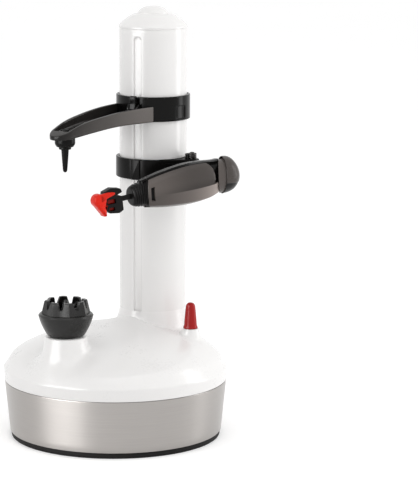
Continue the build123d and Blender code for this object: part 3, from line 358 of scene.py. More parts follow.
def makePiece(name, shapes, material, body, stands=(), sharp=32.0, paintedLightTones=None):
    # shapes become one mesh: doubles merged, loose points dropped, edges above the sharp angle crisp;
    # paintedLightTones gives the depth of colour at every point, with painted light and shade in it
    points = np.concatenate([shape[0] for shape in shapes]) * mm
    starts = np.cumsum([0] + [len(shape[0]) for shape in shapes])
    faces = [corners + start for shape, start in zip(shapes, starts) for corners in shape[1]]
    corners = np.concatenate([part.ravel() for part in faces]).astype(np.int32)
    sizes = np.concatenate([np.full(len(part), part.shape[1]) for part in faces])
    loopStarts = np.concatenate([[0], np.cumsum(sizes)[:-1]]).astype(np.int32)
    mesh = bpy.data.meshes.new(name)
    mesh.vertices.add(len(points))
    mesh.vertices.foreach_set("co", points.ravel().astype(np.float32))
    mesh.loops.add(len(corners))
    mesh.loops.foreach_set("vertex_index", corners)
    mesh.polygons.add(len(sizes))
    mesh.polygons.foreach_set("loop_start", loopStarts)
    mesh.update(calc_edges=True)
    # the tone attribute carries painted light and shade into the colour
    if paintedLightTones is not None:
        mesh.attributes.new("tone", "FLOAT",
                            "POINT").data.foreach_set("value", paintedLightTones.astype(np.float32))
    work = bmesh.new()
    work.from_mesh(mesh)
    bmesh.ops.remove_doubles(work, verts=work.verts, dist=2e-6)
    bmesh.ops.delete(work, geom=[v for v in work.verts if not v.link_faces], context="VERTS")
    work.to_mesh(mesh)
    work.free()
    mesh.polygons.foreach_set("use_smooth", np.ones(len(mesh.polygons), bool))
    mesh.set_sharp_from_angle(angle=math.radians(sharp))
    mesh.materials.append(material)
    piece = addObject(name, mesh)
    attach(piece, body)
    if stands:
        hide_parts(*stands)
    return piece


# Node groups: effects that several materials share.
colour, number = "NodeSocketColor", "NodeSocketFloat"


def newGroup(name, inputs):
    # takes the named inputs and gives colour, roughness and height
    group = bpy.data.node_groups.new(name, "ShaderNodeTree")
    for label, kind, value in inputs:
        socket = group.interface.new_socket(name=label, in_out="INPUT", socket_type=kind)
        socket.default_value = value
    for label, kind in (("Color", colour), ("Roughness", number), ("Height", number)):
        group.interface.new_socket(name=label, in_out="OUTPUT", socket_type=kind)
    return group, group.nodes.new("NodeGroupInput"), group.nodes.new("NodeGroupOutput")



def addNode(tree, kind, settings=(), inputs=()):
    node = tree.nodes.new(kind)
    for label, value in dict(settings).items():
        setattr(node, label, value)
    for label, value in dict(inputs).items():
        node.inputs[label].default_value = value
    return node


def mathNode(tree, operation, inputs=()):
    return addNode(tree, "ShaderNodeMath", {"operation": operation}, inputs)


def tintAndGloss(group, given, result, change, amount, height):
    # colour times 1 + change * amount, roughness plus change * its own amount, height as it is
    link = group.links.new
    tone = mathNode(group, "MULTIPLY_ADD", {2: 1.0})
    tinted = addNode(group, "ShaderNodeVectorMath", {"operation": "SCALE"})
    gloss = mathNode(group, "MULTIPLY_ADD")
    link(change, tone.inputs[0])
    link(given.outputs[amount], tone.inputs[1])
    link(given.outputs["Color"], tinted.inputs[0])
    link(tone.outputs[0], tinted.inputs["Scale"])
    link(change, gloss.inputs[0])
    link(given.outputs["Gloss Change"], gloss.inputs[1])
    link(given.outputs["Roughness"], gloss.inputs[2])
    link(tinted.outputs[0], result.inputs["Color"])
    link(gloss.outputs[0], result.inputs["Roughness"])
    link(height, result.inputs["Height"])


def mouldedSkin():
    # moulded plastic: fine grain in tone, gloss and height, over slow clouds as wide as a thumb
    group, given, result = newGroup("mouldedSkin", [
        ("Color", colour, (0.5, 0.5, 0.5, 1)), ("Tone", number, 0.04), ("Grain", number, 900.0),
        ("Roughness", number, 0.3), ("Gloss Change", number, 0.04)])
    link = group.links.new
    place = addNode(group, "ShaderNodeTexCoord")
    fine = addNode(group, "ShaderNodeTexNoise", inputs={"Detail": 3.0, "Roughness": 0.6})
    clouds = addNode(group, "ShaderNodeTexNoise", inputs={"Scale": 38.0, "Detail": 2.0})
    both = mathNode(group, "ADD")
    centred = mathNode(group, "SUBTRACT", {1: 1.0})
    link(place.outputs["Object"], fine.inputs["Vector"])
    link(place.outputs["Object"], clouds.inputs["Vector"])
    link(given.outputs["Grain"], fine.inputs["Scale"])
    link(fine.outputs["Fac"], both.inputs[0])
    link(clouds.outputs["Fac"], both.inputs[1])
    link(both.outputs[0], centred.inputs[0])
    tintAndGloss(group, given, result, centred.outputs[0], "Tone", fine.outputs["Fac"])
    return group


def drawnMetal():
    # metal with fine lines: noise stretched along two axes, seen in tone, gloss and height
    group, given, result = newGroup("drawnMetal", [
        ("Color", colour, (0.5, 0.5, 0.5, 1)), ("Streak", number, 0.1), ("Roughness", number, 0.3),
        ("Gloss Change", number, 0.1), ("Stretch", "NodeSocketVector", (25.0, 25.0, 2600.0))])
    link = group.links.new
    place = addNode(group, "ShaderNodeTexCoord")
    stretched = addNode(group, "ShaderNodeVectorMath", {"operation": "MULTIPLY"})
    lines = addNode(group, "ShaderNodeTexNoise", inputs={"Scale": 1.0, "Detail": 4.0, "Roughness": 0.7})
    clouds = addNode(group, "ShaderNodeTexNoise", inputs={"Scale": 22.0, "Detail": 2.0})
    both = mathNode(group, "MULTIPLY_ADD", {1: 0.35})
    centred = mathNode(group, "SUBTRACT", {1: 0.675})
    link(place.outputs["Object"], stretched.inputs[0])
    link(given.outputs["Stretch"], stretched.inputs[1])
    link(stretched.outputs[0], lines.inputs["Vector"])
    link(place.outputs["Object"], clouds.inputs["Vector"])
    link(clouds.outputs["Fac"], both.inputs[0])
    link(lines.outputs["Fac"], both.inputs[2])
    link(both.outputs[0], centred.inputs[0])
    tintAndGloss(group, given, result, centred.outputs[0], "Streak", lines.outputs["Fac"])
    return group


mouldedGroup = mouldedSkin()
metalGroup = drawnMetal()


def finishMaterial(name, group, groupInputs, depth, shaderInputs, readsPaintedLight=False):
    # the group's colour, gloss and height go to the shader; constants stay on the shader's own sockets;
    # readsPaintedLight scales the colour by the mesh's own tone, which holds painted light and shade
    material = bpy.data.materials.new(name)
    material.use_nodes = True
    tree = material.node_tree
    shader = tree.nodes["Principled BSDF"]
    effect = addNode(tree, "ShaderNodeGroup", {"node_tree": group}, groupInputs)
    bump = addNode(tree, "ShaderNodeBump", inputs={"Strength": 0.6, "Distance": depth * mm})
    tree.links.new(effect.outputs["Color"], shader.inputs["Base Color"])
    tree.links.new(effect.outputs["Roughness"], shader.inputs["Roughness"])
    tree.links.new(effect.outputs["Height"], bump.inputs["Height"])
    tree.links.new(bump.outputs["Normal"], shader.inputs["Normal"])
    if readsPaintedLight:
        tone = addNode(tree, "ShaderNodeAttribute", {"attribute_name": "tone"})
        tinted = addNode(tree, "ShaderNodeVectorMath", {"operation": "SCALE"},
                         {0: groupInputs["Color"][:3]})
        tree.links.new(tone.outputs["Fac"], tinted.inputs["Scale"])
        tree.links.new(tinted.outputs[0], effect.inputs["Color"])
    for label, value in shaderInputs.items():
        shader.inputs[label].default_value = value
    return material


def plastic(name, tint, roughness=0.3, tone=0.05, grain=900.0, glossChange=0.05, depth=0.01,
            readsPaintedLight=False, **shader):
    inputs = {"Color": (*tint, 1), "Tone": tone, "Grain": grain, "Roughness": roughness,
              "Gloss Change": glossChange}
    return finishMaterial(name, mouldedGroup, inputs, depth, shader, readsPaintedLight)


def metal(name, tint, roughness=0.3, streak=0.12, glossChange=0.1, stretch=(25.0, 25.0, 2600.0),
          depth=0.006, drawn=0.0):
    inputs = {"Color": (*tint, 1), "Streak": streak, "Roughness": roughness,
              "Gloss Change": glossChange, "Stretch": stretch}
    material = finishMaterial(name, metalGroup, inputs, depth,
                              {"Metallic": 1.0, "Anisotropic": drawn, "Anisotropic Rotation": 0.25})
    if drawn:
        tree = material.node_tree
        tangent = addNode(tree, "ShaderNodeTangent", {"direction_type": "RADIAL", "axis": "Z"})
        tree.links.new(tangent.outputs[0], tree.nodes["Principled BSDF"].inputs["Tangent"])
    return material


evenLines = (900.0, 900.0, 900.0)
deepBlack, warmGrey = (0.004, 0.0038, 0.0036), (0.072, 0.062, 0.057)
coat = {"Coat Weight": 0.28, "Coat Roughness": 0.06, "Specular IOR Level": 0.25}
dim = {"Specular IOR Level": 0.13}
glossy = {"Specular IOR Level": 0.2}
faint = {"Specular IOR Level": 0.1}
holderGloss = {"Specular IOR Level": 0.35}
whiteShell = plastic("whiteShell", (0.87, 0.86, 0.85), 0.28, 0.02, 700.0, 0.03, 0.004, **coat)
whiteColumn = plastic("whiteColumn", (0.86, 0.85, 0.84), 0.24, 0.02, 700.0, 0.03, 0.004, **coat)
bandSteel = metal("bandSteel", (0.39, 0.37, 0.355), 0.36, 0.22, 0.12, drawn=0.75)
footRubber = plastic("footRubber", (0.012, 0.011, 0.011), 0.62, 0.3, 1500.0, 0.1, 0.03, **dim)
ringBlack = plastic("ringBlack", deepBlack, 0.18, 0.3, 1100.0, 0.05, 0.006, **dim)
carriageBlack = plastic("carriageBlack", deepBlack, 0.22, 0.3, 1100.0, 0.05, 0.006, **faint)
holderBlack = plastic("holderBlack", (0.010, 0.0095, 0.009), 0.28, 0.25, 1100.0, 0.05, 0.006,
                      **holderGloss)
armBlack = plastic("armBlack", (0.005, 0.0048, 0.0046), 0.24, 0.3, 1100.0, 0.05, 0.006, **faint)
troughGrey = plastic("troughGrey", (0.024, 0.0215, 0.020), 0.2, 0.15, 1100.0, 0.05, 0.006, True,
                     **glossy)
coverGrey = plastic("coverGrey", warmGrey, 0.30, 0.08, 1300.0, 0.06, 0.006, True, **glossy)
knobGrey = plastic("knobGrey", warmGrey, 0.28, 0.08, 1300.0, 0.06, 0.006, True, **glossy)
noseBlack = plastic("noseBlack", (0.006, 0.0055, 0.0055), 0.36, 0.3, 1500.0, 0.08, 0.02, **dim)
clevisBlack = plastic("clevisBlack", (0.005, 0.0045, 0.0045), 0.3, 0.3, 1300.0, 0.08, 0.01, **dim)
guardRed = plastic("guardRed", (0.74, 0.022, 0.010), 0.30, 0.08, 1100.0, 0.06, 0.008, True, **dim)
buttonRed = plastic("buttonRed", (0.36, 0.010, 0.010), 0.24, 0.12, 1100.0, 0.06, 0.006, **glossy)
nylon = plastic("gearNylon", (0.72, 0.70, 0.64), 0.42, 0.06, 900.0, 0.06, 0.01)
innerPlastic = plastic("innerPlastic", (0.08, 0.08, 0.085), 0.5, 0.15, 900.0, 0.08, 0.02)
switchPlastic = plastic("switchPlastic", (0.03, 0.03, 0.032), 0.4, 0.2, 900.0, 0.08, 0.01)
plateSteel = metal("plateSteel", (0.56, 0.55, 0.53), 0.4, 0.1, 0.12, evenLines)
shaftSteel = metal("shaftSteel", (0.60, 0.59, 0.57), 0.24, 0.1, 0.08)
pinSteel = metal("pinSteel", (0.05, 0.048, 0.046), 0.26, 0.1, 0.08, evenLines)
springSteel = metal("springSteel", (0.055, 0.053, 0.052), 0.3, 0.1, 0.08, evenLines)
bushBronze = metal("bushBronze", (0.55, 0.36, 0.17), 0.36, 0.12, 0.1, evenLines)
bladeSteel = metal("bladeSteel", (0.70, 0.69, 0.68), 0.2, 0.12, 0.08, (2200.0, 2200.0, 40.0))
print("materials made")


# Foot ring and steel band.
footShape = {"inner": 61.0, "outer": 73.8, "height": 4.2, "edge": 0.9}
footProfile = softPath(
    [(footShape["inner"], 0), (footShape["outer"] - 0.5, 0), (footShape["outer"], 1.2),
     (footShape["outer"], footShape["height"]), (footShape["inner"], footShape["height"])],
     footShape["edge"])
makePiece("footRing", [turned(footProfile, 192)], footRubber, "base", ["foot_ring"])

bandShape = {"lowZ": 4.2, "highZ": 40.4, "lowR": 74.6, "highR": 78.2, "thick": 0.8, "inletZ": 30.5,
             "inletR": 4.6, "reach": 9.2, "edge": 0.25, "edgeDrop": 0.15}


def bend(u, v, centreU, centreV, radius, reach, half=0.0):
    # lines round a square are bent into lines round a hole: a circle, or a slot with straight sides 2
    # half long
    du = u - centreU
    dv = v - np.clip(v, centreV - half, centreV + half)
    square = np.maximum(np.abs(du), np.abs(dv))
    plain = np.hypot(du, dv)
    share = step01((square - radius) / (reach - radius))
    factor = np.where((square < reach) & (plain > 0),
                      (1 - share) * square / np.maximum(plain, 1e-9) + share, 1.0)
    return centreU + du * factor, v + dv * (factor - 1), square


def lineSet(*stretches, gap=0.12):
    # sorted grid lines from several stretches, without near repeats
    lines = np.unique(np.round(np.concatenate(stretches), 4))
    return lines[np.concatenate([[True], np.diff(lines) > gap])]


def cellMean(values):
    # mean of the four corners of every cell, on a grid that closes round
    rows = (values[1:] + values[:-1]) / 2
    return (rows + np.roll(rows, -1, 1)) / 2


def steelBand(shape):
    # radius grows evenly from the low edge to the high edge; the hole of the inlet is left open at the
    # back
    scale = shape["highR"]
    side = shape["reach"]
    patch = np.linspace(-side, side, 13)
    around = lineSet(np.linspace(-math.pi, math.pi, 193)[:-1] * scale, patch)
    around = around[(np.abs(around) >= side) | np.isin(around, np.round(patch, 4))]
    up = lineSet(patch + shape["inletZ"],
                 [shape["lowZ"], shape["lowZ"] + shape["edge"], 9, 15, shape["highZ"] - shape["edge"],
                  shape["highZ"]])
    u, v = np.meshgrid(around, up)
    u, v, square = bend(u, v, 0.0, shape["inletZ"], shape["inletR"], side)
    share = (v - shape["lowZ"]) / (shape["highZ"] - shape["lowZ"])
    radius = shape["lowR"] + share * (shape["highR"] - shape["lowR"])
    fromEdge = np.minimum(v - shape["lowZ"], shape["highZ"] - v)
    radius = radius - shape["edgeDrop"] * (1 - np.clip(fromEdge / shape["edge"], 0, 1))
    angle = u / scale + math.pi / 2
    grids = [roundAxis(r, angle, v) for r in (radius, radius - shape["thick"])]
    return shell(*grids, cellMean(square) > shape["inletR"])


makePiece("steelBand", [steelBand(bandShape)], bandSteel, "base", ["steel_band"])

inletBase = frameFrom((0, 0, bandShape["inletZ"]), (-1, 0, 0), (0, 0, 1))  # z runs out of the back
inletProfile = softPath([(0, 68.4), (2.85, 68.4), (2.85, 77.4), (4.5, 77.4), (4.5, 64.6), (0, 64.6)],
                        0.35, closed=False)
flange = softBox(-6, 6, -5.5, 5.5, 0.8)
makePiece("inletSocket", [turned(inletProfile, 48, inletBase), slab(flange, 65, 68, 0.3, inletBase)],
          switchPlastic, "base", ["dc_inlet"])
print("band and inlet made")


# White housing: a height for every place on the disc, then a floor under it and a rim between.
domeShape = {
    "rimR": 78.76, "rimZ": 49.0, "topZ": 73.0, "seamR": 78.2, "seamZ": 40.6, "wall": 2.4,
    "holderR": 14.4, "holderZ": 78.2, "columnZ": 86.0, "buttonR": 5.8, "buttonZ": 76.2,
}


def smoothMax(a, b, width):
    # the larger of two heights, with a fillet where they are within width of each other
    near = np.maximum(width - np.abs(a - b), 0) / width
    return np.maximum(a, b) + near * near * width / 4


def domeHeight(x, y, shape):
    # dome: top less a share of the square and of the sixth power of the radius;
    # each boss: its top less a quick fall that dies away and a slow even one, joined by fillets
    r = np.hypot(x, y)
    share = r / shape["rimR"]
    dome = shape["topZ"] - (shape["topZ"] - shape["rimZ"]) * (0.48 * share**2 + 0.52 * share**6)
    d = np.hypot(x, y - spindleY) - shape["holderR"]
    edge = 0.35 * step01(1 + d / 0.8)
    holder = shape["holderZ"] - edge - np.where(d > 0, 9 * (1 - np.exp(-np.maximum(d, 0) / 1.3))
                                                + 1.6 * d, 0)
    d = np.maximum(np.hypot(x, y - columnY) - columnR, 0)
    flare = shape["columnZ"] - 8.6 * (1 - np.exp(-((d / 3.2) ** 0.62))) - 0.27 * d
    lid = dome + 3.2 * (1 - share**8) + 9 * np.exp(-((r / 22) ** 2))
    root = shape["columnZ"] - 9.6 * (1 - np.exp(-((d / 2.6) ** 0.62))) - 1.45 * d
    column = np.maximum(np.minimum(flare, lid), root)
    d = np.hypot(x - buttonX, y - buttonY) - shape["buttonR"]
    button = shape["buttonZ"] - np.where(d > 0, 7 * (1 - np.exp(-np.maximum(d, 0) / 1.6)) + 0.75 * d, 0)
    height = smoothMax(smoothMax(smoothMax(dome, holder, 7), column, 6), button, 3)
    return dome + (height - dome) * step01((shape["rimR"] - 0.2 - r) / 6)


def ringSpots(x, y, radii, count):
    # evenly spaced points on circles round one centre
    turn = np.linspace(0, 2 * math.pi, count, endpoint=False)
    radii = np.array(radii, float)[:, None]
    return np.stack([x + radii * np.cos(turn), y + radii * np.sin(turn)], -1).reshape(-1, 2)


def whiteHousing(shape):
    # points on the disc, close together round the bosses, lifted to the dome's height; the same again
    # a wall's thickness below
    around = 256
    bosses = (
        (0, spindleY, (5.0, 7, 10, 12.5, 13.6, 13.9, 14.15, 14.4, 14.6, 14.9, 15.3, 15.8, 16.5, 17.4,
                       18.5, 20, 22, 24.5, 27), 120),
        (0, columnY, (23.78, 23.84, 23.92, 24.05, 24.25, 24.55, 24.95, 25.5, 26.3, 27.3, 28.6, 30.1,
                      31.8, 33.7, 35.8, 38.0, 40.4), 180),
        (buttonX, buttonY, (2.5, 4.2, 5.4, 5.8, 6.1, 6.6, 7.2, 8, 9.2, 11), 48),
    )
    limit = shape["rimR"] - 0.01
    # a sheet of points in equal triangles, thinned out where rings already lie
    pitch = 1.6
    rows = np.arange(-54, 55)
    hexY, hexX = np.meshgrid(rows * pitch * math.sqrt(0.75), np.arange(-50, 51) * pitch, indexing="ij")
    hexX = hexX + (rows[:, None] % 2) * pitch / 2
    sheet = np.stack([hexX, hexY], -1).reshape(-1, 2)
    sheet = sheet[np.hypot(*sheet.T) < 73.6]
    spots = [ringSpots(0, 0, (shape["rimR"],), around), ringSpots(0, 0, (77.9, 76.6, 74.8), around)]
    taken = []
    for x, y, radii, count in bosses:
        ring = ringSpots(x, y, radii, count)
        ring = ring[np.hypot(*ring.T) < 74.0]
        for otherX, otherY, reach in taken:
            ring = ring[np.hypot(ring[:, 0] - otherX, ring[:, 1] - otherY) > reach]
        sheet = sheet[np.hypot(sheet[:, 0] - x, sheet[:, 1] - y) > radii[-1] + 0.8]
        taken.append((x, y, radii[-1] + 0.3))
        spots.append(ring)
    flat = np.concatenate(spots + [sheet])
    result = delaunay_2d_cdt([Vector(spot) for spot in flat], [], [], 0, 1e-4)
    flat = np.array([tuple(v) for v in result[0]])
    triangles = np.array(result[2])
    middle = flat[triangles].mean(1)
    solid = np.ones(len(triangles), bool)
    for x, y, radii, count in bosses:
        solid &= np.hypot(middle[:, 0] - x,
                          middle[:, 1] - y) > radii[0] * math.cos(math.pi / count) - 0.02
    triangles = triangles[solid]
    x, y = flat.T
    height = domeHeight(x, y, shape)
    r = np.hypot(x, y)
    pull = 1 - 0.03 * step01((r - 66) / 12.8)
    top = np.column_stack([x, y, height])
    under = np.column_stack([x * pull, y * pull, height - shape["wall"]])
    total = len(flat)
    # edges that belong to one triangle only are the holes and the rim
    edges = np.concatenate([triangles[:, [0, 1]], triangles[:, [1, 2]], triangles[:, [2, 0]]])
    key = np.sort(edges, 1)
    _, first, count = np.unique(key, axis=0, return_index=True, return_counts=True)
    border = edges[first[count == 1]]
    onRim = r[border].min(1) > limit - 0.05
    walls = border[~onRim]
    faces = [triangles, triangles[:, ::-1] + total,
             np.stack([walls[:, 1], walls[:, 0], walls[:, 0] + total, walls[:, 1] + total], 1)]
    # the rim: from the dome's edge down the skirt, under it and up inside
    rim = border[onRim]
    order = np.argsort(np.arctan2(y[rim[:, 0]], x[rim[:, 0]]))
    ring = rim[order, 0]
    turn = np.arctan2(y[ring], x[ring])
    skirt = softPath(
        [(shape["rimR"], shape["rimZ"]), (78.72, 47.9), (shape["seamR"] + 0.12, shape["seamZ"] + 0.3),
         (shape["seamR"] - 0.3, shape["seamZ"]), (75.6, shape["seamZ"]),
         (76.4, shape["rimZ"] - shape["wall"])], 0.4, closed=False)[1:-1]
    extra = roundAxis(skirt[:, :1], turn, skirt[:, 1:])
    start = 2 * total
    rows = np.vstack([ring, start + np.arange(extra.shape[0] * len(ring)).reshape(extra.shape[0], -1),
                      ring + total])
    nextColumn = np.roll(rows, -1, 1)
    strip = np.stack([rows[:-1], rows[1:], nextColumn[1:], nextColumn[:-1]], -1).reshape(-1, 4)
    points = np.concatenate([top, under, extra.reshape(-1, 3)])
    # the strip has to run against the dome's own edge
    a, b = top[triangles[0, 0]], top[triangles[0, 1]]
    upwards = np.cross(b - a, top[triangles[0, 2]] - a)[2] > 0
    if not upwards:
        faces = [corners[:, ::-1] for corners in faces]
    return points, faces + [strip]


makePiece("whiteHousing", [whiteHousing(domeShape)], whiteShell, "base", ["upper_housing"],
          60)
print("housing made")


# Column with its guide groove in front and the half nut's slot behind.
columnShape = {
    "outer": columnR, "inner": 21.2, "lowZ": 24.5, "highZ": 285.0,
    "grooveHalf": 2.8, "grooveDepth": 1.2, "grooveLow": 80.0, "grooveHigh": 280.0, "grooveEdge": 0.7,
    "slotHalf": 2.8, "slotLow": 116.0, "slotHigh": 212.0, "reach": 5.6,
}


def columnTube(shape):
    # plain tube; the groove lowers the outside by a soft step across its outline, the slot is left out
    # of both walls
    outer, reach = shape["outer"], shape["reach"]
    slotU = outer * (slotAngle - grooveAngle)  # arc length from groove to slot
    half, edge = shape["grooveHalf"], shape["grooveEdge"]
    fine = np.array([-edge, -edge * 0.6, -edge * 0.2, edge * 0.2, edge * 0.6, edge]) / 2
    groove = np.concatenate([-half + fine, half + fine, [-4.2, -1.2, 0, 1.2, 4.2]])
    patch = np.linspace(-reach, reach, 13)
    around = np.linspace(-slotU, slotU, 161)[:-1]
    around = around[(np.abs(around) > 4.6) & (np.abs(around) < slotU - reach - 0.3)]
    around = np.sort(np.concatenate([around, groove, slotU + patch]))
    ends = [shape["grooveLow"] + half, shape["grooveHigh"] - half]
    up = lineSet(
        np.linspace(shape["lowZ"], shape["highZ"], 60), [shape["lowZ"] + 0.3, shape["highZ"] - 0.3],
        np.linspace(ends[0] - 4.2, ends[0] + 0.2, 20), np.linspace(ends[1] - 0.2, ends[1] + 4.2, 20),
        shape["slotLow"] + shape["slotHalf"] + patch[:7],
        shape["slotHigh"] - shape["slotHalf"] + patch[6:], gap=0.1)
    u, v = np.meshgrid(around, up)
    low, high = shape["slotLow"], shape["slotHigh"]
    straight = (high - low) / 2 - shape["slotHalf"]
    u, v, square = bend(u, v, slotU, (low + high) / 2, shape["slotHalf"], reach, straight)
    fromGroove = np.hypot(u, v - np.clip(v, *ends)) - half
    depth = shape["grooveDepth"] * (1 - step01(0.5 + fromGroove / edge))
    # both ends and the slot's mouth are softened a little
    atEnds = 1 - np.clip(np.minimum(v - shape["lowZ"], shape["highZ"] - v) / 0.3, 0, 1)
    atSlot = 1 - np.clip((square - shape["slotHalf"]) / 0.5, 0, 1)
    depth = depth + 0.25 * atEnds + 0.2 * atSlot
    angle = u / outer + grooveAngle - math.pi / 2
    grids = [roundAxis(r, angle, v, columnY) for r in (outer - depth, shape["inner"])]
    return shell(*grids, cellMean(square) > shape["slotHalf"])


makePiece("columnTube", [columnTube(columnShape)], whiteColumn, "base", ["tower_tube"], 40)

capShape = {"shoulder": ((24.1, 286.5), (22.2, 288.6), (19.4, 290.8), (16.6, 292.8), (14.4, 294.0)),
            "crown": ((10.9, 294.9), (10.3, 296.2), (8.4, 297.9), (5.4, 299.3), (0, 300.0))}
capOutside = np.concatenate([
    throughPoints(capShape["crown"], 22)[::-1], [(12.2, 294.55)],
    throughPoints(capShape["shoulder"], 16)[::-1]])
capInside = softPath([(24.1, 285.9, 0), (24.1, 285.0), (21.1, 285.0), (21.1, 277.5), (18.8, 277.5),
                      (18.8, 286.5), (14, 290.5),
                      (8.5, 290.5), (8.5, 277.5), (6.0, 277.5), (6.0, 284), (0, 284)], 0.3,
                      closed=False)
makePiece("columnCap", [turned(np.vstack([capOutside, capInside]), 128, uprightAt(0, columnY))],
          whiteColumn, "base", ["tower_cap"], 36)
print("column made")


# Food holder: turned cup, crown of angled teeth, ribs behind them.
holderShape = {"ledgeZ": 94.6, "toothZ": 103.6, "teeth": 8, "first": math.radians(6.5),
               "lowR": 17.0, "highR": 14.8, "wall": 2.4, "notchZ": 98.2, "notchLow": 0.9,
               "notchSlope": 1.9 / 6}


def toothCrown(shape):
    # eight-sided ring that leans inwards; a V is cut from its top edge in the middle of every side
    teeth = shape["teeth"]
    half = math.pi / teeth
    share = np.array([-1, -0.97, -0.9, -0.75, -0.56, -0.5, -0.44, -0.3, -0.17, -0.12, -0.06, 0])
    share = np.concatenate([share, -share[-2:0:-1]])
    turn = (np.arange(teeth)[:, None] * 2 * half + half + share * half).ravel()
    local = np.abs((turn - half + half) % (2 * half) - half)  # angle from the middle of the side
    corner = 0.985 + 0.015 * np.cos(teeth * turn / 2) ** 2
    side = np.cos(half) / np.cos(local) * corner
    across = np.sin(local) / np.cos(local) * np.cos(half) * shape["highR"]
    cut = shape["notchZ"] + np.maximum(across - shape["notchLow"], 0) / shape["notchSlope"]
    topZ = np.minimum(cut, shape["toothZ"])
    rows = []
    for along, inset in ((0, 0), (0.35, 0), (0.7, 0), (0.96, 0), (1, 0.35), (1, shape["wall"] - 0.35),
                         (0.96, shape["wall"]), (0.5, shape["wall"]), (0, shape["wall"])):
        z = shape["ledgeZ"] - 0.4 + (topZ - shape["ledgeZ"] + 0.4) * along
        lean = (z - shape["ledgeZ"]) / (shape["toothZ"] - shape["ledgeZ"])
        radius = ((shape["lowR"] + (shape["highR"] - shape["lowR"]) * lean) - inset) * side
        rows.append(roundAxis(radius, turn + shape["first"], z, spindleY))
    return closedRows(np.array(rows))


def holderPiece(shape):
    # cup profile turned round the spindle, the crown on its ledge, and a rib behind every tooth
    cup = np.concatenate([
        [(0, 89.2), (4.02, 89.2), (4.02, 79.0)],
        softPath([(6, 79.0), (12.4, 79.0), (13.5, 80.2)], 0.6, closed=False),
        throughPoints([(13.7, 80.6), (15.4, 83.6), (17.0, 87.0), (18.2, 90.3), (18.85, 92.7)], 14),
        softPath([(18.95, 93.1, 0.15), (18.1, 94.3, 0.3), (17.2, 94.6), (12, 94.6)], 0.5, closed=False),
        throughPoints([(4.8, 94.6), (3.6, 96.4), (2.2, 100.2), (1.0, 103.0), (0, 103.6)], 14)])
    shapes = [turned(cup, 128, uprightAt(0, spindleY)), toothCrown(shape)]
    rib = softPath([(6.0, shape["ledgeZ"] - 1), (14.4, shape["ledgeZ"] - 1), (13.6, 100.6),
                    (6.0, 97.0)], 0.5)
    for tooth in range(shape["teeth"]):
        turn = shape["first"] + tooth * 2 * math.pi / shape["teeth"]
        base = frameFrom((0, spindleY, 0), (math.cos(turn), math.sin(turn), 0), (0, 0, 1))
        shapes.append(slab(rib, -0.9, 0.9, 0.3, base))
    return shapes


makePiece("foodHolder", holderPiece(holderShape), holderBlack, "spindle", ["food_holder"],
          38)

# Button: shallow skirt, then a cone with a rounded tip.
buttonProfile = np.concatenate([
    [(0, 52.0), (2.2, 52.0), (2.2, 76.3)],
    softPath([(4.0, 76.3), (5.1, 76.3), (5.1, 77.2), (4.62, 78.2), (4.5, 79.5)], 0.5, closed=False),
    throughPoints([(4.42, 80.5), (4.0, 85.5), (3.55, 90.0), (3.15, 92.6), (2.1, 94.1), (0.9, 94.6),
                   (0, 94.65)], 26)])
makePiece("onButton", [turned(buttonProfile, 64, uprightAt(buttonX, buttonY))], buttonRed, "button",
          ["red_button"])
print("holder and button made")


# Carriage: ring, two hinge lugs, two key housings, the ear that holds the spring.
carriageShape = {"innerR": 24.15, "outerR": 26.3, "lugR": 5.0, "lugThick": 3.0, "pivot": (32.75, 44.0),
                 "bandR": 27.2, "bandHalf": 3.5,
                 "keyR": 22.95, "keyHalf": 2.4, "earHeight": 3.6, "earWall": 1.1}


def tangentLug(shape):
    # outline round the pivot that runs off along the two lines that touch the ring and the lug
    px, py = shape["pivot"]
    away = math.hypot(px, py - columnY)
    toward = math.degrees(math.atan2(py - columnY, px))
    spread = math.degrees(math.acos((shape["outerR"] - shape["lugR"]) / away))
    small = arcPath(px, py, shape["lugR"], toward - spread, toward + spread, 28)
    ring = arcPath(0, columnY, shape["outerR"] - 0.15, toward + spread, toward + spread - 3, 2)
    back = arcPath(0, columnY, shape["innerR"] + 0.3, toward + spread - 4, toward - spread + 4, 30)
    ringEnd = arcPath(0, columnY, shape["outerR"] - 0.15, toward - spread + 3, toward - spread, 2)
    return np.concatenate([small, ring, back, ringEnd])


def carriagePiece(shape):
    # a turned ring, and outlines lifted between two heights for lugs, key housings and ear
    low, high = carriageLow, carriageHigh
    ring = softBox(shape["innerR"], shape["outerR"], low, high, 0.7)
    shapes = [turned(ring, 160, uprightAt(0, columnY))]
    lug = tangentLug(shape)
    px, py = shape["pivot"]
    shapes.append(slab(lug, low, low + shape["lugThick"], 0.5))
    shapes.append(slab(lug, high - shape["lugThick"], high, 0.5))
    band = softBox(-shape["bandHalf"], shape["bandHalf"], low, high, 0.5)
    for angle in (grooveAngle, slotAngle):
        shapes.append(slab(band, shape["innerR"] + 0.4, shape["bandR"], 0.55, facingAt(angle)))
    key = softBox(-shape["keyHalf"], shape["keyHalf"], low + 0.1, high - 0.1, 0.3)
    shapes.append(slab(key, shape["keyR"], shape["innerR"] + 0.6, 0.2, facingAt(grooveAngle)))
    ear = np.concatenate([arcPath(px, py, shape["lugR"], 92, 268, 24),
                          arcPath(px, py, shape["lugR"] - shape["earWall"], 268, 92, 24)])
    shapes.append(slab(ear, high - 0.4, high + shape["earHeight"], 0.25))
    return shapes


makePiece("carriageRing", carriagePiece(carriageShape), carriageBlack, "carriage", ["carriage_ring"],
          40)

pinProfile = softPath([(0, 178.8), (3.2, 178.8), (3.2, 180.0), (1.9, 180.0), (1.9, 198.4), (1.2, 199.2),
                       (0, 199.2)], 0.3, closed=False)
makePiece("pivotPin", [turned(pinProfile, 40, uprightAt(*carriageShape["pivot"]))], pinSteel,
          "carriage", ["arm_pivot_pin"])

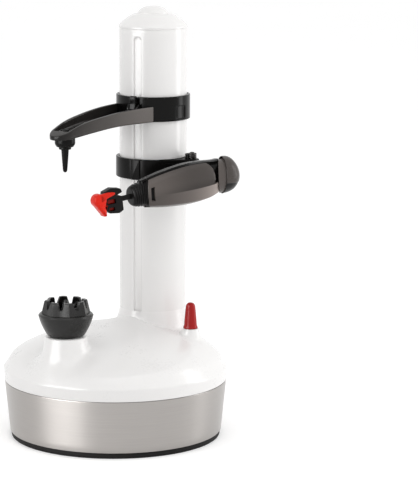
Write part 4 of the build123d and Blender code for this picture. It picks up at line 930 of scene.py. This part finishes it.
springShape = {"radius": 2.6, "wire": 0.6, "lowZ": 194.95, "height": 3.0, "turns": 2.86}
springTurn = np.linspace(0, springShape["turns"] * 2 * math.pi, 110)
springPath = np.stack([
    carriageShape["pivot"][0] + springShape["radius"] * np.cos(springTurn),
    carriageShape["pivot"][1] + springShape["radius"] * np.sin(springTurn),
    springShape["lowZ"] + springShape["height"] * springTurn / springTurn[-1]], 1)
makePiece("pivotSpring", [tube(springPath, springShape["wire"])], springSteel, "carriage",
          ["arm_spring"])
print("carriage made")


# Peeling arm. Its rows lie in upright planes that are turned away from the arm's own axis, so that
# its joints stand upright; the planes at both ends are given by the place across and the height.
armShape = {
    "stations": ((-1.0, 9.0, 10.9), (4.0, 9.8, 11.2), (11.0, 11.2, 13.4), (22.0, 12.0, 14.4),
                 (42.0, 10.9, 13.0), (61.0, 8.8, 9.6)),
    "lift": ((-1.0, 1.9), (4.0, 1.6), (11.0, 0.3), (22.0, 0.0), (61.0, 0.0)),
    "covered": ((0.38, 0.93, 0), (0.76, 0.72, 0.2), (1.0, 0.12, 0.16), (1.0, -0.17, 0.012),
                (0.70, -0.82, 0.12), (0.02, -1.0, 0)),
    "bare": ((0.02, -1.0, 0), (-0.62, -0.85, 0.2), (-1.0, -0.34, 0.2), (-1.0, 0.5, 0.2),
             (-0.62, 0.93, 0.14), (0.1, 0.985, 0.08),
             (0.38, 0.93, 0)),
    "thick": 1.8, "front": 61.0, "turn": 0.595, "tip": 0.06, "rear": 0.24, "rearTip": 0.08,
    "rearLow": -1.0,
    "recess": ((-0.17, 10.9), (-0.05, 9.4), (0.12, 8.5), (0.45, 8.3), (0.72, 9.1), (0.86, 10.4),
               (0.93, 11.8)),
    "window": (56.2, 59.0, -0.50, 0.46),
}


def armSize(s):
    # half width and half height at each place along the arm
    rows = np.array(armShape["stations"])
    return follow(rows[:, [0, 1]], s), follow(rows[:, [0, 2]], s)


def armPoints(across, upward, along):
    # from places across, up and along the arm to the machine's axes
    return armRear + across[..., None] * armOut + upward[..., None] * armUp + along[..., None] * armAxis


def unitPath(corners, gap=0.07):
    # outline in parts of half width and half height, with points at least every gap
    path = softPath(corners, closed=False, steps=6)
    long = np.linalg.norm(np.diff(path, axis=0), axis=1)
    pieces = [np.linspace(a, b, max(1, round(l / gap)), endpoint=False)
              for a, b, l in zip(path[:-1], path[1:], long)]
    return np.concatenate(pieces + [path[-1:]])


def uprightPlane(s, across, upward, shape):
    # the place along the arm, less a share of the distance from its near side and of the height
    return s - shape["turn"] * (armSize(s)[0] - across) - shape["tip"] * upward


def rearPlane(across, upward, shape):
    # further forward with the place across, further back with the height, never behind its low limit
    return np.maximum(shape["rear"] + shape["turn"] * across - shape["rearTip"] * upward,
                      shape["rearLow"])


def armBody(shape):
    # full outline where it is bare, drawn in by the cover's thickness where the cover lies on it
    covered, bare = unitPath(shape["covered"]), unitPath(shape["bare"])
    path = np.concatenate([covered, bare])
    depth = np.concatenate([np.full(len(covered), shape["thick"]), np.zeros(len(bare))])
    share = np.concatenate([[0, 0.006], np.linspace(0.02, 0.985, 46), [0.994, 1]])[:, None]
    end = 0.5 * (1 - np.clip(share / 0.006, 0, 1)) + 0.3 * (1 - np.clip((1 - share) / 0.006, 0, 1))
    s = share * shape["front"] + 0 * depth
    for _ in range(5):
        width, height = armSize(s)
        height = height + np.where(path[:, 1] > 0, follow(shape["lift"], s), 0)
        across, upward = path[:, 0] * (width - depth - end), path[:, 1] * (height - depth - end)
        rear = rearPlane(across, upward, shape)
        s = rear + (shape["front"] - rear) * share
    return skin(armPoints(across, upward, s))


eyeProfile = softBox(1.97, 4.9, 183.3, 191.1, 0.4)
px, py = carriageShape["pivot"]
webAhead = unit((56 - px, 27 - py, 0))
webBase = frameFrom((px, py, 0), webAhead, (0, 0, 1))
webOutline = softPath([(2.6, 183.3), (7.5, 183.3), (14, 177.5), (25, 173.5), (25, 196.0), (14, 195.0),
                       (7.5, 191.1), (2.6, 191.1)], 1.5)
makePiece("armBody", [armBody(armShape), turned(eyeProfile, 48, uprightAt(px, py)),
                      slab(webOutline, -4, 4, 0.8, webBase)],
          armBlack, "arm", ["arm_frame"], 30)


def armCover(shape):
    # outer and inner surface over the covered part; above the crease it starts at the recess, below it
    # at the rear plane;
    # painted light: the strip below the crease is made paler, most of all towards the knob, and the
    # strip above paler towards the nose and darker near the crease
    path = unitPath(shape["covered"], 0.05)
    low, high, windowLow, windowTop = shape["window"]
    rows = lineSet(np.linspace(0, low, 44),
                   [low, low + 0.15, (low + high) / 2, high - 0.15, high, 59.6, 60.2, 60.8,
                    shape["front"]], gap=0.05)
    above = path[:, 1] > shape["covered"][3][1] + 0.004
    s = rows[:, None] + 0 * path[:, 0]
    middle = 24.0
    for _ in range(5):
        width, height = armSize(s)
        across, upward = path[:, 0] * width, path[:, 1] * height
        start = np.where(above, follow(shape["recess"], path[:, 1]), rearPlane(across, upward, shape))
        plane = uprightPlane(np.maximum(rows, middle)[:, None], across, upward, shape)
        s = np.where(rows[:, None] < middle, start + (plane - start) * rows[:, None] / middle, plane)
    width, height = armSize(s)
    normal = np.gradient(path, axis=0)
    normal = np.stack([-normal[:, 1], normal[:, 0]], 1)
    normal /= np.linalg.norm(normal, axis=1)[:, None]
    if normal[len(normal) // 2, 0] < 0:
        normal = -normal
    # the outer surface dips a little along all four edges
    fromEdge = np.minimum.outer(np.minimum(rows - rows[0], shape["front"] - rows),
                                np.full(len(path), 9.0))
    alongPath = np.concatenate([[0], np.cumsum(np.linalg.norm(np.diff(path, axis=0), axis=1))]) * 12
    fromEdge = np.minimum(fromEdge, np.minimum(alongPath, alongPath[-1] - alongPath))
    dip = 0.3 * (1 - np.clip(fromEdge / 0.6, 0, 1)) ** 2
    outer = armPoints(path[:, 0] * width - normal[:, 0] * dip, path[:, 1] * height - normal[:, 1] * dip,
                      s)
    thick = shape["thick"] - 0.02
    inner = armPoints(path[:, 0] * (width - thick), path[:, 1] * (height - thick), s)
    middleRow = (rows[1:] + rows[:-1])[:, None] / 2
    middleY = (path[1:, 1] + path[:-1, 1])[None, :] / 2
    keep = ~((middleRow > low) & (middleRow < high) & (middleY < windowTop) & (middleY > windowLow))
    # painted light and shade in the tone: it follows where light fell, not a change in the plastic
    toRear = 1 - np.clip(s / shape["front"], 0, 1)
    upper = 1.65 - 0.75 * step01(toRear * 1.6) - 0.25 * step01((0.25 - path[:, 1]) / 0.4) + 0 * s
    tone = np.where(above, upper, 1.15 + 3.2 * toRear**2 + 3.6 * toRear**6)
    return shell(outer, inner, keep, wrap=False), np.concatenate([tone.ravel(), tone.ravel()])


# The neck: a band between the arm's rear plane and the knob, and the knob's rim, which runs nearer
# where it faces outwards.
knobShape = {"rim": 0.7, "rimTurn": 0.23, "rimTip": 0.141, "radius": 12.4, "skirtIn": 11.8,
             "neckR": 11.5, "neckIn": 10.4, "neckEnd": 1.5, "lift": 0.9,
             "crease": -4.0, "creaseSlope": 0.15}


def knobRim(across, upward, shape):
    # how far the rim stands back where it lies away from the outer side or higher up
    return -shape["rimTurn"] * (shape["radius"] - across) - shape["rimTip"] * upward


def neckBand(shape):
    # rings from the arm's rear plane to the knob's rim plane, less a gap
    turn = np.linspace(0, 2 * math.pi, 120, endpoint=False)
    rings = []
    for radius, share in ((shape["neckIn"], 0), (shape["neckR"] - 0.35, 0),
                          (shape["neckR"] - 0.1, 0.02), (shape["neckR"], 0.06),
                          (shape["neckR"], 0.5), (shape["neckR"], 1), (shape["neckIn"], 1)):
        across, upward = radius * np.cos(turn), radius * np.sin(turn)
        front = rearPlane(across, upward, armShape)
        back = shape["rim"] + knobRim(across, upward, shape) - shape["neckEnd"]
        rings.append(armPoints(across, upward, front + (back - front) * share))
    return closedRows(np.array(rings))


coverSkin, coverPaintedLight = armCover(armShape)
neckSkin = neckBand(knobShape)
makePiece("armCover", [coverSkin, neckSkin], coverGrey, "arm", ["arm_cover"], 20,
          np.concatenate([coverPaintedLight, np.full(len(neckSkin[0]), 1.35)]))

noseShape = {"start": 61.0, "length": 9.7, "tipR": 5.0, "swell": 3.3, "reach": 7.5, "power": 0.42,
             "ribs": 7, "pitch": 1.25, "depth": 0.65,
             "bore": 1.92, "proud": 0.2}


def outlineRadius(turn, s):
    # distance from the arm's axis to its outline in that direction
    loop = np.concatenate([unitPath(armShape["covered"]), unitPath(armShape["bare"])[1:-1]])
    angle, reach = np.arctan2(loop[:, 1], loop[:, 0]), np.hypot(*loop.T)
    order = np.argsort(angle)
    width, height = armSize(s)
    x, y = np.cos(turn) / width, np.sin(turn) / height
    return np.interp(np.arctan2(y, x), angle[order], reach[order], period=2 * math.pi) / np.hypot(x, y)


def armNose(shape):
    # bell in front: tip radius plus a swelling that levels off; behind it the arm's own outline;
    # grooves lie in the upright planes
    turn = np.linspace(-math.pi, math.pi, 112, endpoint=False)
    front = shape["start"] + shape["length"]
    row = (front - np.linspace(0, 1, 130) ** 1.3 * shape["length"])[:, None]
    s, radius = row + 0 * turn, 8 + 0 * row * turn
    share = 1 - step01((row - 62.0) / 8.5)
    halfWidth = armSize(np.array(shape["start"]))[0]
    for _ in range(5):
        rise = armShape["tip"] * radius * np.sin(turn)
        s = row - share * (armShape["turn"] * (halfWidth - radius * np.cos(turn)) + rise)
        back = np.clip(front - s, 0, None)
        reach = np.minimum(1, back / shape["reach"])
        bell = shape["tipR"] + shape["swell"] * np.sin(math.pi / 2 * reach) ** shape["power"]
        blend = step01((s - 57.0) / 6.0)
        radius = bell * blend + (outlineRadius(turn + 0 * s, s) + shape["proud"]) * (1 - blend)
    phase = (front - row - 1.1) / shape["pitch"]
    groove = np.where((phase > 0) & (phase < shape["ribs"]),
                      shape["depth"] * np.clip(1.5 * np.sin(math.pi * phase) ** 2 - 0.35, 0, 1), 0)
    outside = radius - groove - 0.35 * (1 - np.clip((row - shape["start"]) / 0.3, 0, 1))
    bore = shape["bore"] + 0 * turn
    rings = [(bore, s[-1]), (bore, s[0])] + list(zip(outside, s))
    rings = [armPoints(r * np.cos(turn), r * np.sin(turn), along) for r, along in rings]
    return closedRows(np.array(rings))


makePiece("armNose", [armNose(noseShape)], noseBlack, "arm", ["nose_collar"], 50)


# Release knob: stem, hollow skirt over the neck, rim and domed end; the lower part is sunk a little and
# darkened with painted shade.
def releaseKnob(shape):
    turn = np.linspace(0, 2 * math.pi, 160, endpoint=False)
    skirt = shape["skirtIn"]
    inside = np.array([
        (0, 14.0), (3.5, 14.0), (3.7, 13.8), (3.7, -5.0), (10.9, -5.0), (11.7, -3.6), (skirt, -2.0),
        (skirt, 0.45), (11.95, 0.65), (12.28, 0.7), (12.42, 0.56)])
    dome = throughPoints([(12.45, 0.3), (12.5, -1.2), (12.42, -3.2), (12.15, -5.0), (11.3, -7.7),
                          (9.3, -10.5), (6.2, -12.9), (2.8, -14.05), (0, -14.2)], 60)
    profile = np.concatenate([inside, dome])
    radius, s = profile[:, :1] + 0 * turn, profile[:, 1:] + 0 * turn
    outside = np.arange(len(profile))[:, None] >= len(inside) - 1
    lean = np.where(outside, np.clip((s + 14.2) / 14.9, 0, 1), 1) * step01((radius - 4) / 4)
    radius = radius + shape["lift"] * lean * np.maximum(np.sin(turn), 0) ** 2
    across, upward = radius * np.cos(turn), radius * np.sin(turn)
    s = s + lean * knobRim(across, upward, shape)
    fromCrease = shape["crease"] + shape["creaseSlope"] * (s + 3) - upward
    under = step01(0.5 + fromCrease / 0.7) * step01((radius - 8) / 2 + (s < 0.6))
    radius = radius - 0.35 * under * outside * step01((radius - 1) / 4)
    grid = armPoints(radius * np.cos(turn), radius * np.sin(turn), s)
    # painted shade: below the crease the colour is made darker
    tone = 0.95 - 0.9 * under * outside
    return outward(grid.reshape(-1, 3), [gridFaces(len(profile), len(turn))]), tone.ravel()


knobSkin, knobPaintedShade = releaseKnob(knobShape)
makePiece("releaseKnob", [knobSkin], knobGrey, "knob", ["release_knob"], 40, knobPaintedShade)
print("peeling arm made")


# Blade head.
rodProfile = softPath([(0, 38), (1.85, 38), (1.85, 78.4), (0, 78.4)], 0.3, closed=False)
makePiece("bladeRod", [turned(rodProfile, 40, alongArm)], clevisBlack, "blade_head", ["blade_shaft"])

clevisShape = {"half": 3.0, "slotHalf": 1.3, "soft": 0.45}
clevisOutline = softPath([(78.5, 7.6), (77.7, 5.0), (82.6, 3.4), (78.0, 2.4), (78.0, -7.4),
                          (81.5, -9.0), (88.8, -7.8), (91.2, -5.0),
                          (91.4, 7.4), (85.1, 9.2)], 0.7)
clevisMiddle = softPath([(78.5, 7.6), (77.7, 5.0), (82.6, 3.4), (78.0, 2.4), (78.0, -7.4), (81.5, -9.0),
                         (88.8, -7.8), (90.0, -6.4, 0.2),
                         (84.6, -6.4, 0.2), (84.6, -4.0, 0.2), (91.25, -4.0, 0.2), (91.3, -1.6, 0.2),
                         (83.3, -1.6, 0.2),
                         (83.3, 1.6, 0.2), (91.35, 1.6, 0.2), (91.4, 7.4), (85.1, 9.2)], 0.7)
clevisWindows = [softBox(83.3, 89.6, -1.6, 1.6, 0.5), softBox(84.6, 88.6, -6.4, -4.0, 0.4)]
half, slotHalf, soft = clevisShape["half"], clevisShape["slotHalf"], clevisShape["soft"]
makePiece("bladeClevis", [
    pierced(clevisOutline, clevisWindows, -half, -slotHalf, softLow=soft, base=besideArm),
    pierced(clevisMiddle, [], -slotHalf, slotHalf, base=besideArm),
    pierced(clevisOutline, clevisWindows, slotHalf, half, softHigh=soft, base=besideArm)],
    clevisBlack, "blade_head", ["blade_clevis"], 34)

toe = np.concatenate([arcPath(95.4, 2.3, 4.6, -50, 215, 40),
                      softPath([(91.7, -1.0), (91.7, -8.4), (93.8, -9.0)], 0.6)])
upperWing = softPath([(95.4, 6.9), (88.8, 7.1), (84.2, 6.3), (84.0, 5.0), (90.4, 3.2), (93.4, 1.4),
                      (95.4, 1.4)], 0.8)
tongues = [softBox(rear, 93.4, middle - high, middle + high, 0.4)
           for rear, middle, high in ((83.35, 0.0, 1.55), (84.65, -5.2, 1.15))]
guardShapes = [slab(toe, -5.0, 3.0, 1.3, besideArm), slab(upperWing, -5.0, -3.1, 0.5, besideArm)]
guardShapes += [slab(tongue, -1.25, 1.25, 0.25, besideArm) for tongue in tongues]
# painted shade: the tongues, deep in the windows, are made much darker and the upper wing a little
# darker
guardPaintedShade = np.concatenate([np.full(len(shape[0]), tone)
                            for shape, tone in zip(guardShapes, (1.0, 0.9, 0.3, 0.3))])
makePiece("bladeGuard", guardShapes, guardRed, "blade_head", ["blade_guard"], 34,
          guardPaintedShade)

edgeOutline = softPath([(81.2, -5.6), (91.3, -6.8), (91.3, 7.2), (81.2, 6.6)], 0.6)
edgeHole = arcPath(83.0, 0.6, 1.1, 0, 345, 24)
makePiece("bladeEdge", [ringSlab(edgeOutline, edgeHole, 3.02, 3.62, 0.12, besideArm, 120)],
          bladeSteel, "blade_head", ["blade_strip"], 30)
rivetProfile = softPath([(0, 3.02), (1.1, 3.02), (1.1, 3.63), (1.9, 3.63), (1.9, 3.9), (1.1, 4.33),
                         (0, 4.33)], 0.2, closed=False)
rivetBase = frameFrom(armRear + armAxis * 83.0 + armUp * 0.6, armAxis, armUp)
makePiece("bladeRivet", [turned(rivetProfile, 32, rivetBase)], pinSteel, "blade_head", ["blade_rivet"])
print("blade head made")


# Upper collar: ring with a sunk grip panel, keys, and the cheeks of the catch.
collarShape = {"innerR": 24.15, "outerR": 26.1, "panelAngle": 0.0, "panelZ": 227.0,
               "panelHalf": (5.0, 4.5), "panelDepth": 0.8, "panelCorner": 1.5,
               "keyR": 22.95, "keyRoot": 24.7, "keyHalf": 2.4, "keyHeight": 2.3,
               "cheeks": ((-4.2, -2.6), (2.6, 4.2))}


def collarRing(shape):
    # the outside sinks by the panel's depth inside a rounded rectangle
    def sunk(turn, radius, height):
        u = np.abs((turn - shape["panelAngle"] + math.pi) % (2 * math.pi)
                   - math.pi) * shape["outerR"] - shape["panelHalf"][0]
        v = np.abs(height - shape["panelZ"]) - shape["panelHalf"][1]
        corner = shape["panelCorner"]
        gap = np.hypot(np.maximum(u + corner, 0),
                       np.maximum(v + corner, 0)) + np.minimum(np.maximum(u, v) + corner, 0) - corner
        inside = 1 - step01(0.5 + gap / 0.6)
        return -shape["panelDepth"] * inside * (radius > shape["outerR"] - 0.5)

    half = shape["panelHalf"][0] / shape["outerR"]
    fine = np.linspace(-0.035, 0.035, 9)
    angles = lineSet(np.linspace(-math.pi, math.pi, 145)[:-1], half + fine, -half + fine, gap=0.006)
    edge = softBox(shape["innerR"], shape["outerR"], collarLow, collarHigh, 0.8)
    up = lineSet(np.linspace(collarLow + 1, collarHigh - 1, 14), 222.5 + np.linspace(-0.9, 1.6, 12),
                 231.5 + np.linspace(-1.6, 0.9, 12), gap=0.1)
    wall = np.column_stack([np.full(len(up), shape["outerR"]), up])

    def inOrder(part, level, sign):
        # from the inside out along the lower end, from the outside in along the upper one
        rise = 5 * np.abs(part[:, 1] - level) * np.where(part[:, 0] > 25, 1, -1)
        return part[np.argsort(sign * (part[:, 0] + rise))]

    lower = inOrder(edge[edge[:, 1] < collarLow + 0.9], collarLow, 1)
    upper = inOrder(edge[edge[:, 1] > collarHigh - 0.9], collarHigh, -1)
    return turned(np.vstack([lower, wall, upper]), base=uprightAt(0, columnY), angles=angles,
                  relief=sunk)


def collarPiece(shape):
    # the ring, two cheeks for the catch, and a key in the groove at either end
    shapes = [collarRing(shape)]
    cheek = softPath([(25, 224.6), (29.5, 224.6), (31.8, 228), (31.8, 231.2), (29.6, 233.4),
                      (25, 233.4)], 0.6)
    for low, high in shape["cheeks"]:
        shapes.append(slab(cheek, low, high, 0.3, outwardAt(grooveAngle)))
    for low in (collarLow + 0.05, collarHigh - 2.75):
        key = softBox(-shape["keyHalf"], shape["keyHalf"], low, low + shape["keyHeight"], 0.3)
        shapes.append(slab(key, shape["keyR"], shape["keyRoot"], 0.2, facingAt(grooveAngle)))
    return shapes


makePiece("upperCollar", collarPiece(collarShape), ringBlack, "upper_arm", ["upper_collar"],
          40)

leverOutline = softPath([(28.3, 239.0), (30.7, 239.6), (31.6, 238.6), (31.0, 233.5), (31.9, 230.6),
                         (31.4, 227.6), (27.6, 225.7),
                         (24.25, 225.7), (24.25, 228.2), (27.0, 229.2), (27.8, 233.0)], 0.7)
leverHole = arcPath(29.6, 229.5, 1.26, 0, 345, 24)
lever = ringSlab(leverOutline, leverHole, -2.1, 2.1, 0.35, outwardAt(grooveAngle), 160)
makePiece("catchLever", [lever], ringBlack, "latch", ["latch_lever"], 34)
print("collar made")


# Food arm: an open trough. The same plan outline is drawn in step by step, each step at its own height.
troughShape = {
    "rootY": 26.0, "rootHalf": 17.9, "noseY": -52.5, "noseHalf": 8.8, "frontY": -62.5, "wall": 2.2,
    "hollowEnd": -55.5,
    "top": ((-63, 217.6), (-43, 225.0), (-22, 228.8), (-1, 231.0), (26, 231.9)),
    "low": ((-63, 214.8), (-56, 215.3), (-50, 216.0), (-38, 217.6), (-16, 220.1), (26, 221.0)),
    "floor": ((-56, 218.7), (-50, 218.7), (-38, 220.2), (-16, 222.6), (26, 223.4)),
}


def troughPlan(shape, inset):
    # straight sides that close in towards the nose, and a round nose
    half, front = shape["noseHalf"] - inset, shape["frontY"] + inset
    side = np.linspace(0, 1, 36)[:-1]
    rootHalf = shape["rootHalf"] - inset
    right = np.stack([rootHalf + (half - rootHalf) * side,
                      shape["rootY"] + (shape["noseY"] - shape["rootY"]) * side], 1)
    turn = np.linspace(0, math.pi, 25)
    nose = np.stack([half * np.cos(turn), shape["noseY"] + (front - shape["noseY"]) * np.sin(turn)], 1)
    left = right[::-1] * (-1, 1)
    return np.concatenate([right, nose, left])


def troughPiece(shape):
    def levelAt(name, y):
        return follow(shape[name], y)

    wall = shape["wall"]
    # how far in, from which height, how much above it
    steps = [(0.9, "low", 0), (0.35, "low", 0.12), (0.08, "low", 0.45), (0, "low", 1.0),
             (0, "low", 2.4), (0, "top", -0.9), (0.1, "top", -0.35), (0.4, "top", -0.05),
             (0.8, "top", 0),
             (wall - 0.8, "top", 0), (wall - 0.4, "top", -0.05), (wall - 0.1, "top", -0.35),
             (wall, "top", -0.9), (wall, "floor", 1.8), (wall + 0.15, "floor", 0.9),
             (wall + 0.6, "floor", 0.25), (wall + 1.4, "floor", 0)]
    rings = []
    for inset, level, above in steps:
        plan = troughPlan(shape, inset)
        if inset > wall / 2:
            stop = shape["hollowEnd"] + max(0.0, inset - wall)
            over = plan[:, 1] - stop
            plan[:, 1] = stop + np.where(over > 0.8, over, 0.8 * np.exp(np.minimum(over / 0.8 - 1, 0)))
        z = levelAt(level, plan[:, 1]) + above
        if level == "floor" and above:
            z = np.minimum(z, levelAt("top", plan[:, 1]) - 0.9)
        rings.append(np.column_stack([plan, z]))
    # underside and floor close towards the middle line
    below, above = ([ring * (share, 1, 1) for share in (0.5, 0.0)] for ring in (rings[0], rings[-1]))
    rings = below[::-1] + rings + above
    body = skin(np.array(rings), caps=False)
    # the rear wall hugs the collar: its points are pushed out of the ring
    points = body[0]
    away = np.hypot(points[:, 0], points[:, 1] - columnY)
    collar = collarShape["outerR"] - 0.5
    pushed = (away < collar) & (points[:, 1] < columnY)
    points[pushed, 1] = columnY - np.sqrt(np.maximum(collar**2 - points[pushed, 0] ** 2, 0))
    boss = softBox(5.0, 7.0, 214.9, 217.4, 0.2)
    shapes = [(points, body[1]), turned(boss, 48, uprightAt(0, spindleY))]
    # painted light: the sides are made paler towards the collar; floor, rim and boss keep one tone
    toCollar = (points[:, 1] - shape["frontY"]) / (shape["rootY"] - shape["frontY"])
    side = np.repeat([level in range(4, 9) for level in range(len(rings))], len(rings[0]))
    tone = np.where(side, 0.3 + 5.6 * np.clip(toCollar, 0, 1) ** 0.9, 1.0)
    return shapes, np.concatenate([tone, np.ones(len(shapes[1][0]))])


troughSkin, troughPaintedLight = troughPiece(troughShape)
makePiece("foodArm", troughSkin, troughGrey, "upper_arm", ["upper_arm"], 36, troughPaintedLight)

bushProfile = softPath([(3.05, 209.6), (5.7, 209.6, 0.4), (7.0, 211.6, 0.8), (7.0, 215.2), (4.9, 215.2),
                        (4.9, 219.8), (3.05, 219.8)], 0.3)
makePiece("spikeBush", [turned(bushProfile, 64, uprightAt(0, spindleY))], armBlack, "upper_arm",
          ["spike_bush"])
spikeProfile = np.concatenate([
    softPath([(0, 221.4), (3.0, 221.4), (3.0, 220.7), (2.4, 220.7), (2.4, 219.9), (3.0, 219.9),
              (3.0, 209.5), (4.2, 209.5), (4.2, 208.0), (2.6, 207.6)], 0.2, closed=False),
    [(2.1, 200.5), (1.55, 193.6), (1.1, 192.5), (0.5, 192.08), (0, 192.0)]])
makePiece("foodSpike", [turned(spikeProfile, 48, uprightAt(0, spindleY))], armBlack, "spike",
          ["top_spike"])
clipOutline = np.concatenate([arcPath(0, spindleY, 4.4, 107, 433, 40),
                              arcPath(0, spindleY, 2.4, 433, 107, 40)])
makePiece("spikeClip", [slab(clipOutline, 219.92, 220.68, 0.15)], springSteel, "spike", ["spike_clip"])
print("food arm made")


# Lead screw: the thread is a radius that goes up and down along the helix.
screwShape = {"core": 3.55, "crest": 4.0, "pitch": 3.0, "lowZ": 20.5, "highZ": 276.0, "journal": 3.0,
              "footZ": 7.0, "headZ": 283.4, "shank": 14.0}


def leadScrew(shape):
    turn = np.linspace(0, 2 * math.pi, 24, endpoint=False)
    z = np.arange(shape["lowZ"], shape["highZ"], shape["pitch"] / 8)[:, None]
    wave = np.cos(2 * math.pi * z / shape["pitch"] - turn)
    radius = shape["core"] + (shape["crest"] - shape["core"]) * step01(0.5 + 0.9 * wave)
    journal, crest, top = shape["journal"], shape["crest"], shape["highZ"]
    foot = ((0, shape["footZ"]), (journal, shape["footZ"]), (journal, shape["shank"]),
            (crest, shape["shank"]))
    head = ((crest, top), (journal, top + 1), (journal, shape["headZ"]), (0, shape["headZ"]))
    ends = [[roundAxis(r, turn, height) for r, height in steps] for steps in (foot, head)]
    rings = np.concatenate([ends[0], roundAxis(radius, turn, z), ends[1]])
    return placed(skin(rings, caps=False), uprightAt(0, columnY))


makePiece("leadScrew", [leadScrew(screwShape)], shaftSteel, "screw", ["lead_screw"], 60)
print("lead screw made")


# Pieces that keep their CAD shape get their finish here.
keptNodes = {
    "lower_housing": innerPlastic, "housing_screws": plateSteel, "gear_plate": plateSteel,
    "plate_screws": plateSteel,
    "motor_can": plateSteel, "reduction_axle": shaftSteel, "idler_axle": shaftSteel,
    "spindle_bushes": bushBronze,
    "screw_bushes": bushBronze, "switch_body": switchPlastic, "motor_pinion": nylon,
    "reduction_gear": nylon,
    "idler_gear": nylon, "screw_gear": nylon, "spindle_gear": nylon, "spindle_shaft": shaftSteel,
    "half_nut": nylon,
    "latch_pin": shaftSteel,
}
for node, material in keptNodes.items():
    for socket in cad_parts[node].material_slots:
        socket.material = material
print("hidden pieces finished")


# Floor, light and camera.
studio = {"floorTone": 0.86, "floorGlow": 0.30, "sky": 0.80}


def seenRays(tree):
    # 1 where the camera, a glossy surface or glass looks, otherwise 0
    rays = addNode(tree, "ShaderNodeLightPath")
    seen, either = mathNode(tree, "MAXIMUM"), mathNode(tree, "MAXIMUM")
    tree.links.new(rays.outputs["Is Camera Ray"], seen.inputs[0])
    tree.links.new(rays.outputs["Is Glossy Ray"], seen.inputs[1])
    tree.links.new(seen.outputs[0], either.inputs[0])
    tree.links.new(rays.outputs["Is Transmission Ray"], either.inputs[1])
    return either.outputs[0]


def makeFloor():
    mesh = bpy.data.meshes.new("studioFloor")
    half = 6.0
    mesh.from_pydata([(-half, -half, 0), (half, -half, 0), (half, half, 0), (-half, half, 0)], [],
                     [(0, 1, 2, 3)])
    floor = addObject("studioFloor", mesh)
    material = bpy.data.materials.new("paleFloor")
    material.use_nodes = True
    tree = material.node_tree
    shader = tree.nodes["Principled BSDF"]
    noise = addNode(tree, "ShaderNodeTexNoise", inputs={"Scale": 3.0})
    ramp = addNode(tree, "ShaderNodeMapRange",
                   inputs={"To Min": studio["floorTone"] - 0.01, "To Max": studio["floorTone"] + 0.01})
    place = addNode(tree, "ShaderNodeTexCoord")
    glow = mathNode(tree, "MULTIPLY", {1: studio["floorGlow"]})
    shader.inputs["Roughness"].default_value = 0.9
    shader.inputs["Specular IOR Level"].default_value = 0.1
    shader.inputs["Emission Color"].default_value = (1, 1, 1, 1)
    link = tree.links.new
    link(place.outputs["Object"], noise.inputs["Vector"])
    link(noise.outputs["Fac"], ramp.inputs["Value"])
    link(ramp.outputs["Result"], shader.inputs["Base Color"])
    link(seenRays(tree), glow.inputs[0])
    link(glow.outputs[0], shader.inputs["Emission Strength"])
    mesh.materials.append(material)


def makeSky():
    world = bpy.data.worlds.new("paleSky")
    bpy.context.scene.world = world
    world.use_nodes = True
    tree = world.node_tree
    back = tree.nodes["Background"]
    back.inputs["Color"].default_value = (1, 1, 1, 1)
    level = addNode(tree, "ShaderNodeMapRange", inputs={"To Min": studio["sky"], "To Max": 1.0})
    tree.links.new(seenRays(tree), level.inputs["Value"])
    tree.links.new(level.outputs["Result"], back.inputs["Strength"])


# each lamp: direction from the camera's side (degrees to the right), height and distance in metres,
# width, height,
# radiance, and what it gives: light, highlights or both
lamps = {
    "rightBox": (88, 0.35, 1.1, 0.7, 1.1, 2.0, "light"),
    "leftBox": (-55, 0.45, 1.3, 0.2, 1.2, 3.0, "both"),
    "topBox": (10, 1.5, 0.5, 0.9, 0.9, 0.8, "both"),
    "leftShine": (-55, 0.42, 1.0, 0.85, 0.9, 6.5, "highlights"),
    "rightShine": (96, 0.42, 1.0, 0.3, 0.9, 3.5, "highlights"),
}
cameraSetting = {"away": 1.71575, "high": 0.44369, "turn": 42.0, "down": 0.1794, "pan": 0.0382,
                 "roll": 0.005, "lens": 214.24, "sensor": 36.0}


def makeLamps():
    target = Vector((0, 0, 0.15))
    for name, (side, high, away, width, tall, radiance, use) in lamps.items():
        lamp = bpy.data.lights.new(name, "AREA")
        lamp.shape = "RECTANGLE"
        lamp.size, lamp.size_y = width, tall
        lamp.energy = radiance * width * tall * math.pi
        turn = math.radians(cameraSetting["turn"] + side)
        place = Vector((away * math.sin(turn), -away * math.cos(turn), high))
        holder = addObject(name, lamp)
        holder.location = place
        holder.visible_camera = False
        holder.visible_diffuse = use != "highlights"
        holder.visible_glossy = use != "light"
        holder.rotation_euler = (target - place).to_track_quat("-Z", "Y").to_euler()


def makeCamera(setting):
    down, pan, roll = setting["down"], setting["pan"], setting["roll"]
    ahead = Vector((math.sin(pan) * math.cos(down), math.cos(pan) * math.cos(down), -math.sin(down)))
    right = Vector((math.cos(pan), -math.sin(pan), 0))
    up = right.cross(ahead)
    tiltedRight = right * math.cos(roll) + up * math.sin(roll)
    tiltedUp = up * math.cos(roll) - right * math.sin(roll)
    turn = Matrix.Rotation(math.radians(setting["turn"]), 4, "Z")
    axes = Matrix((tiltedRight, tiltedUp, -ahead)).transposed().to_4x4()
    axes.translation = Vector((0, -setting["away"], setting["high"]))
    lens = bpy.data.cameras.new("studioCamera")
    lens.sensor_fit = "HORIZONTAL"
    lens.sensor_width = setting["sensor"]
    lens.lens = setting["lens"]
    lens.clip_start = 0.05
    camera = addObject("studioCamera", lens)
    camera.matrix_world = turn @ axes
    bpy.context.scene.camera = camera


makeFloor()
makeSky()
makeLamps()
makeCamera(cameraSetting)
bpy.context.scene.view_settings.view_transform = "Standard"
print("studio made")
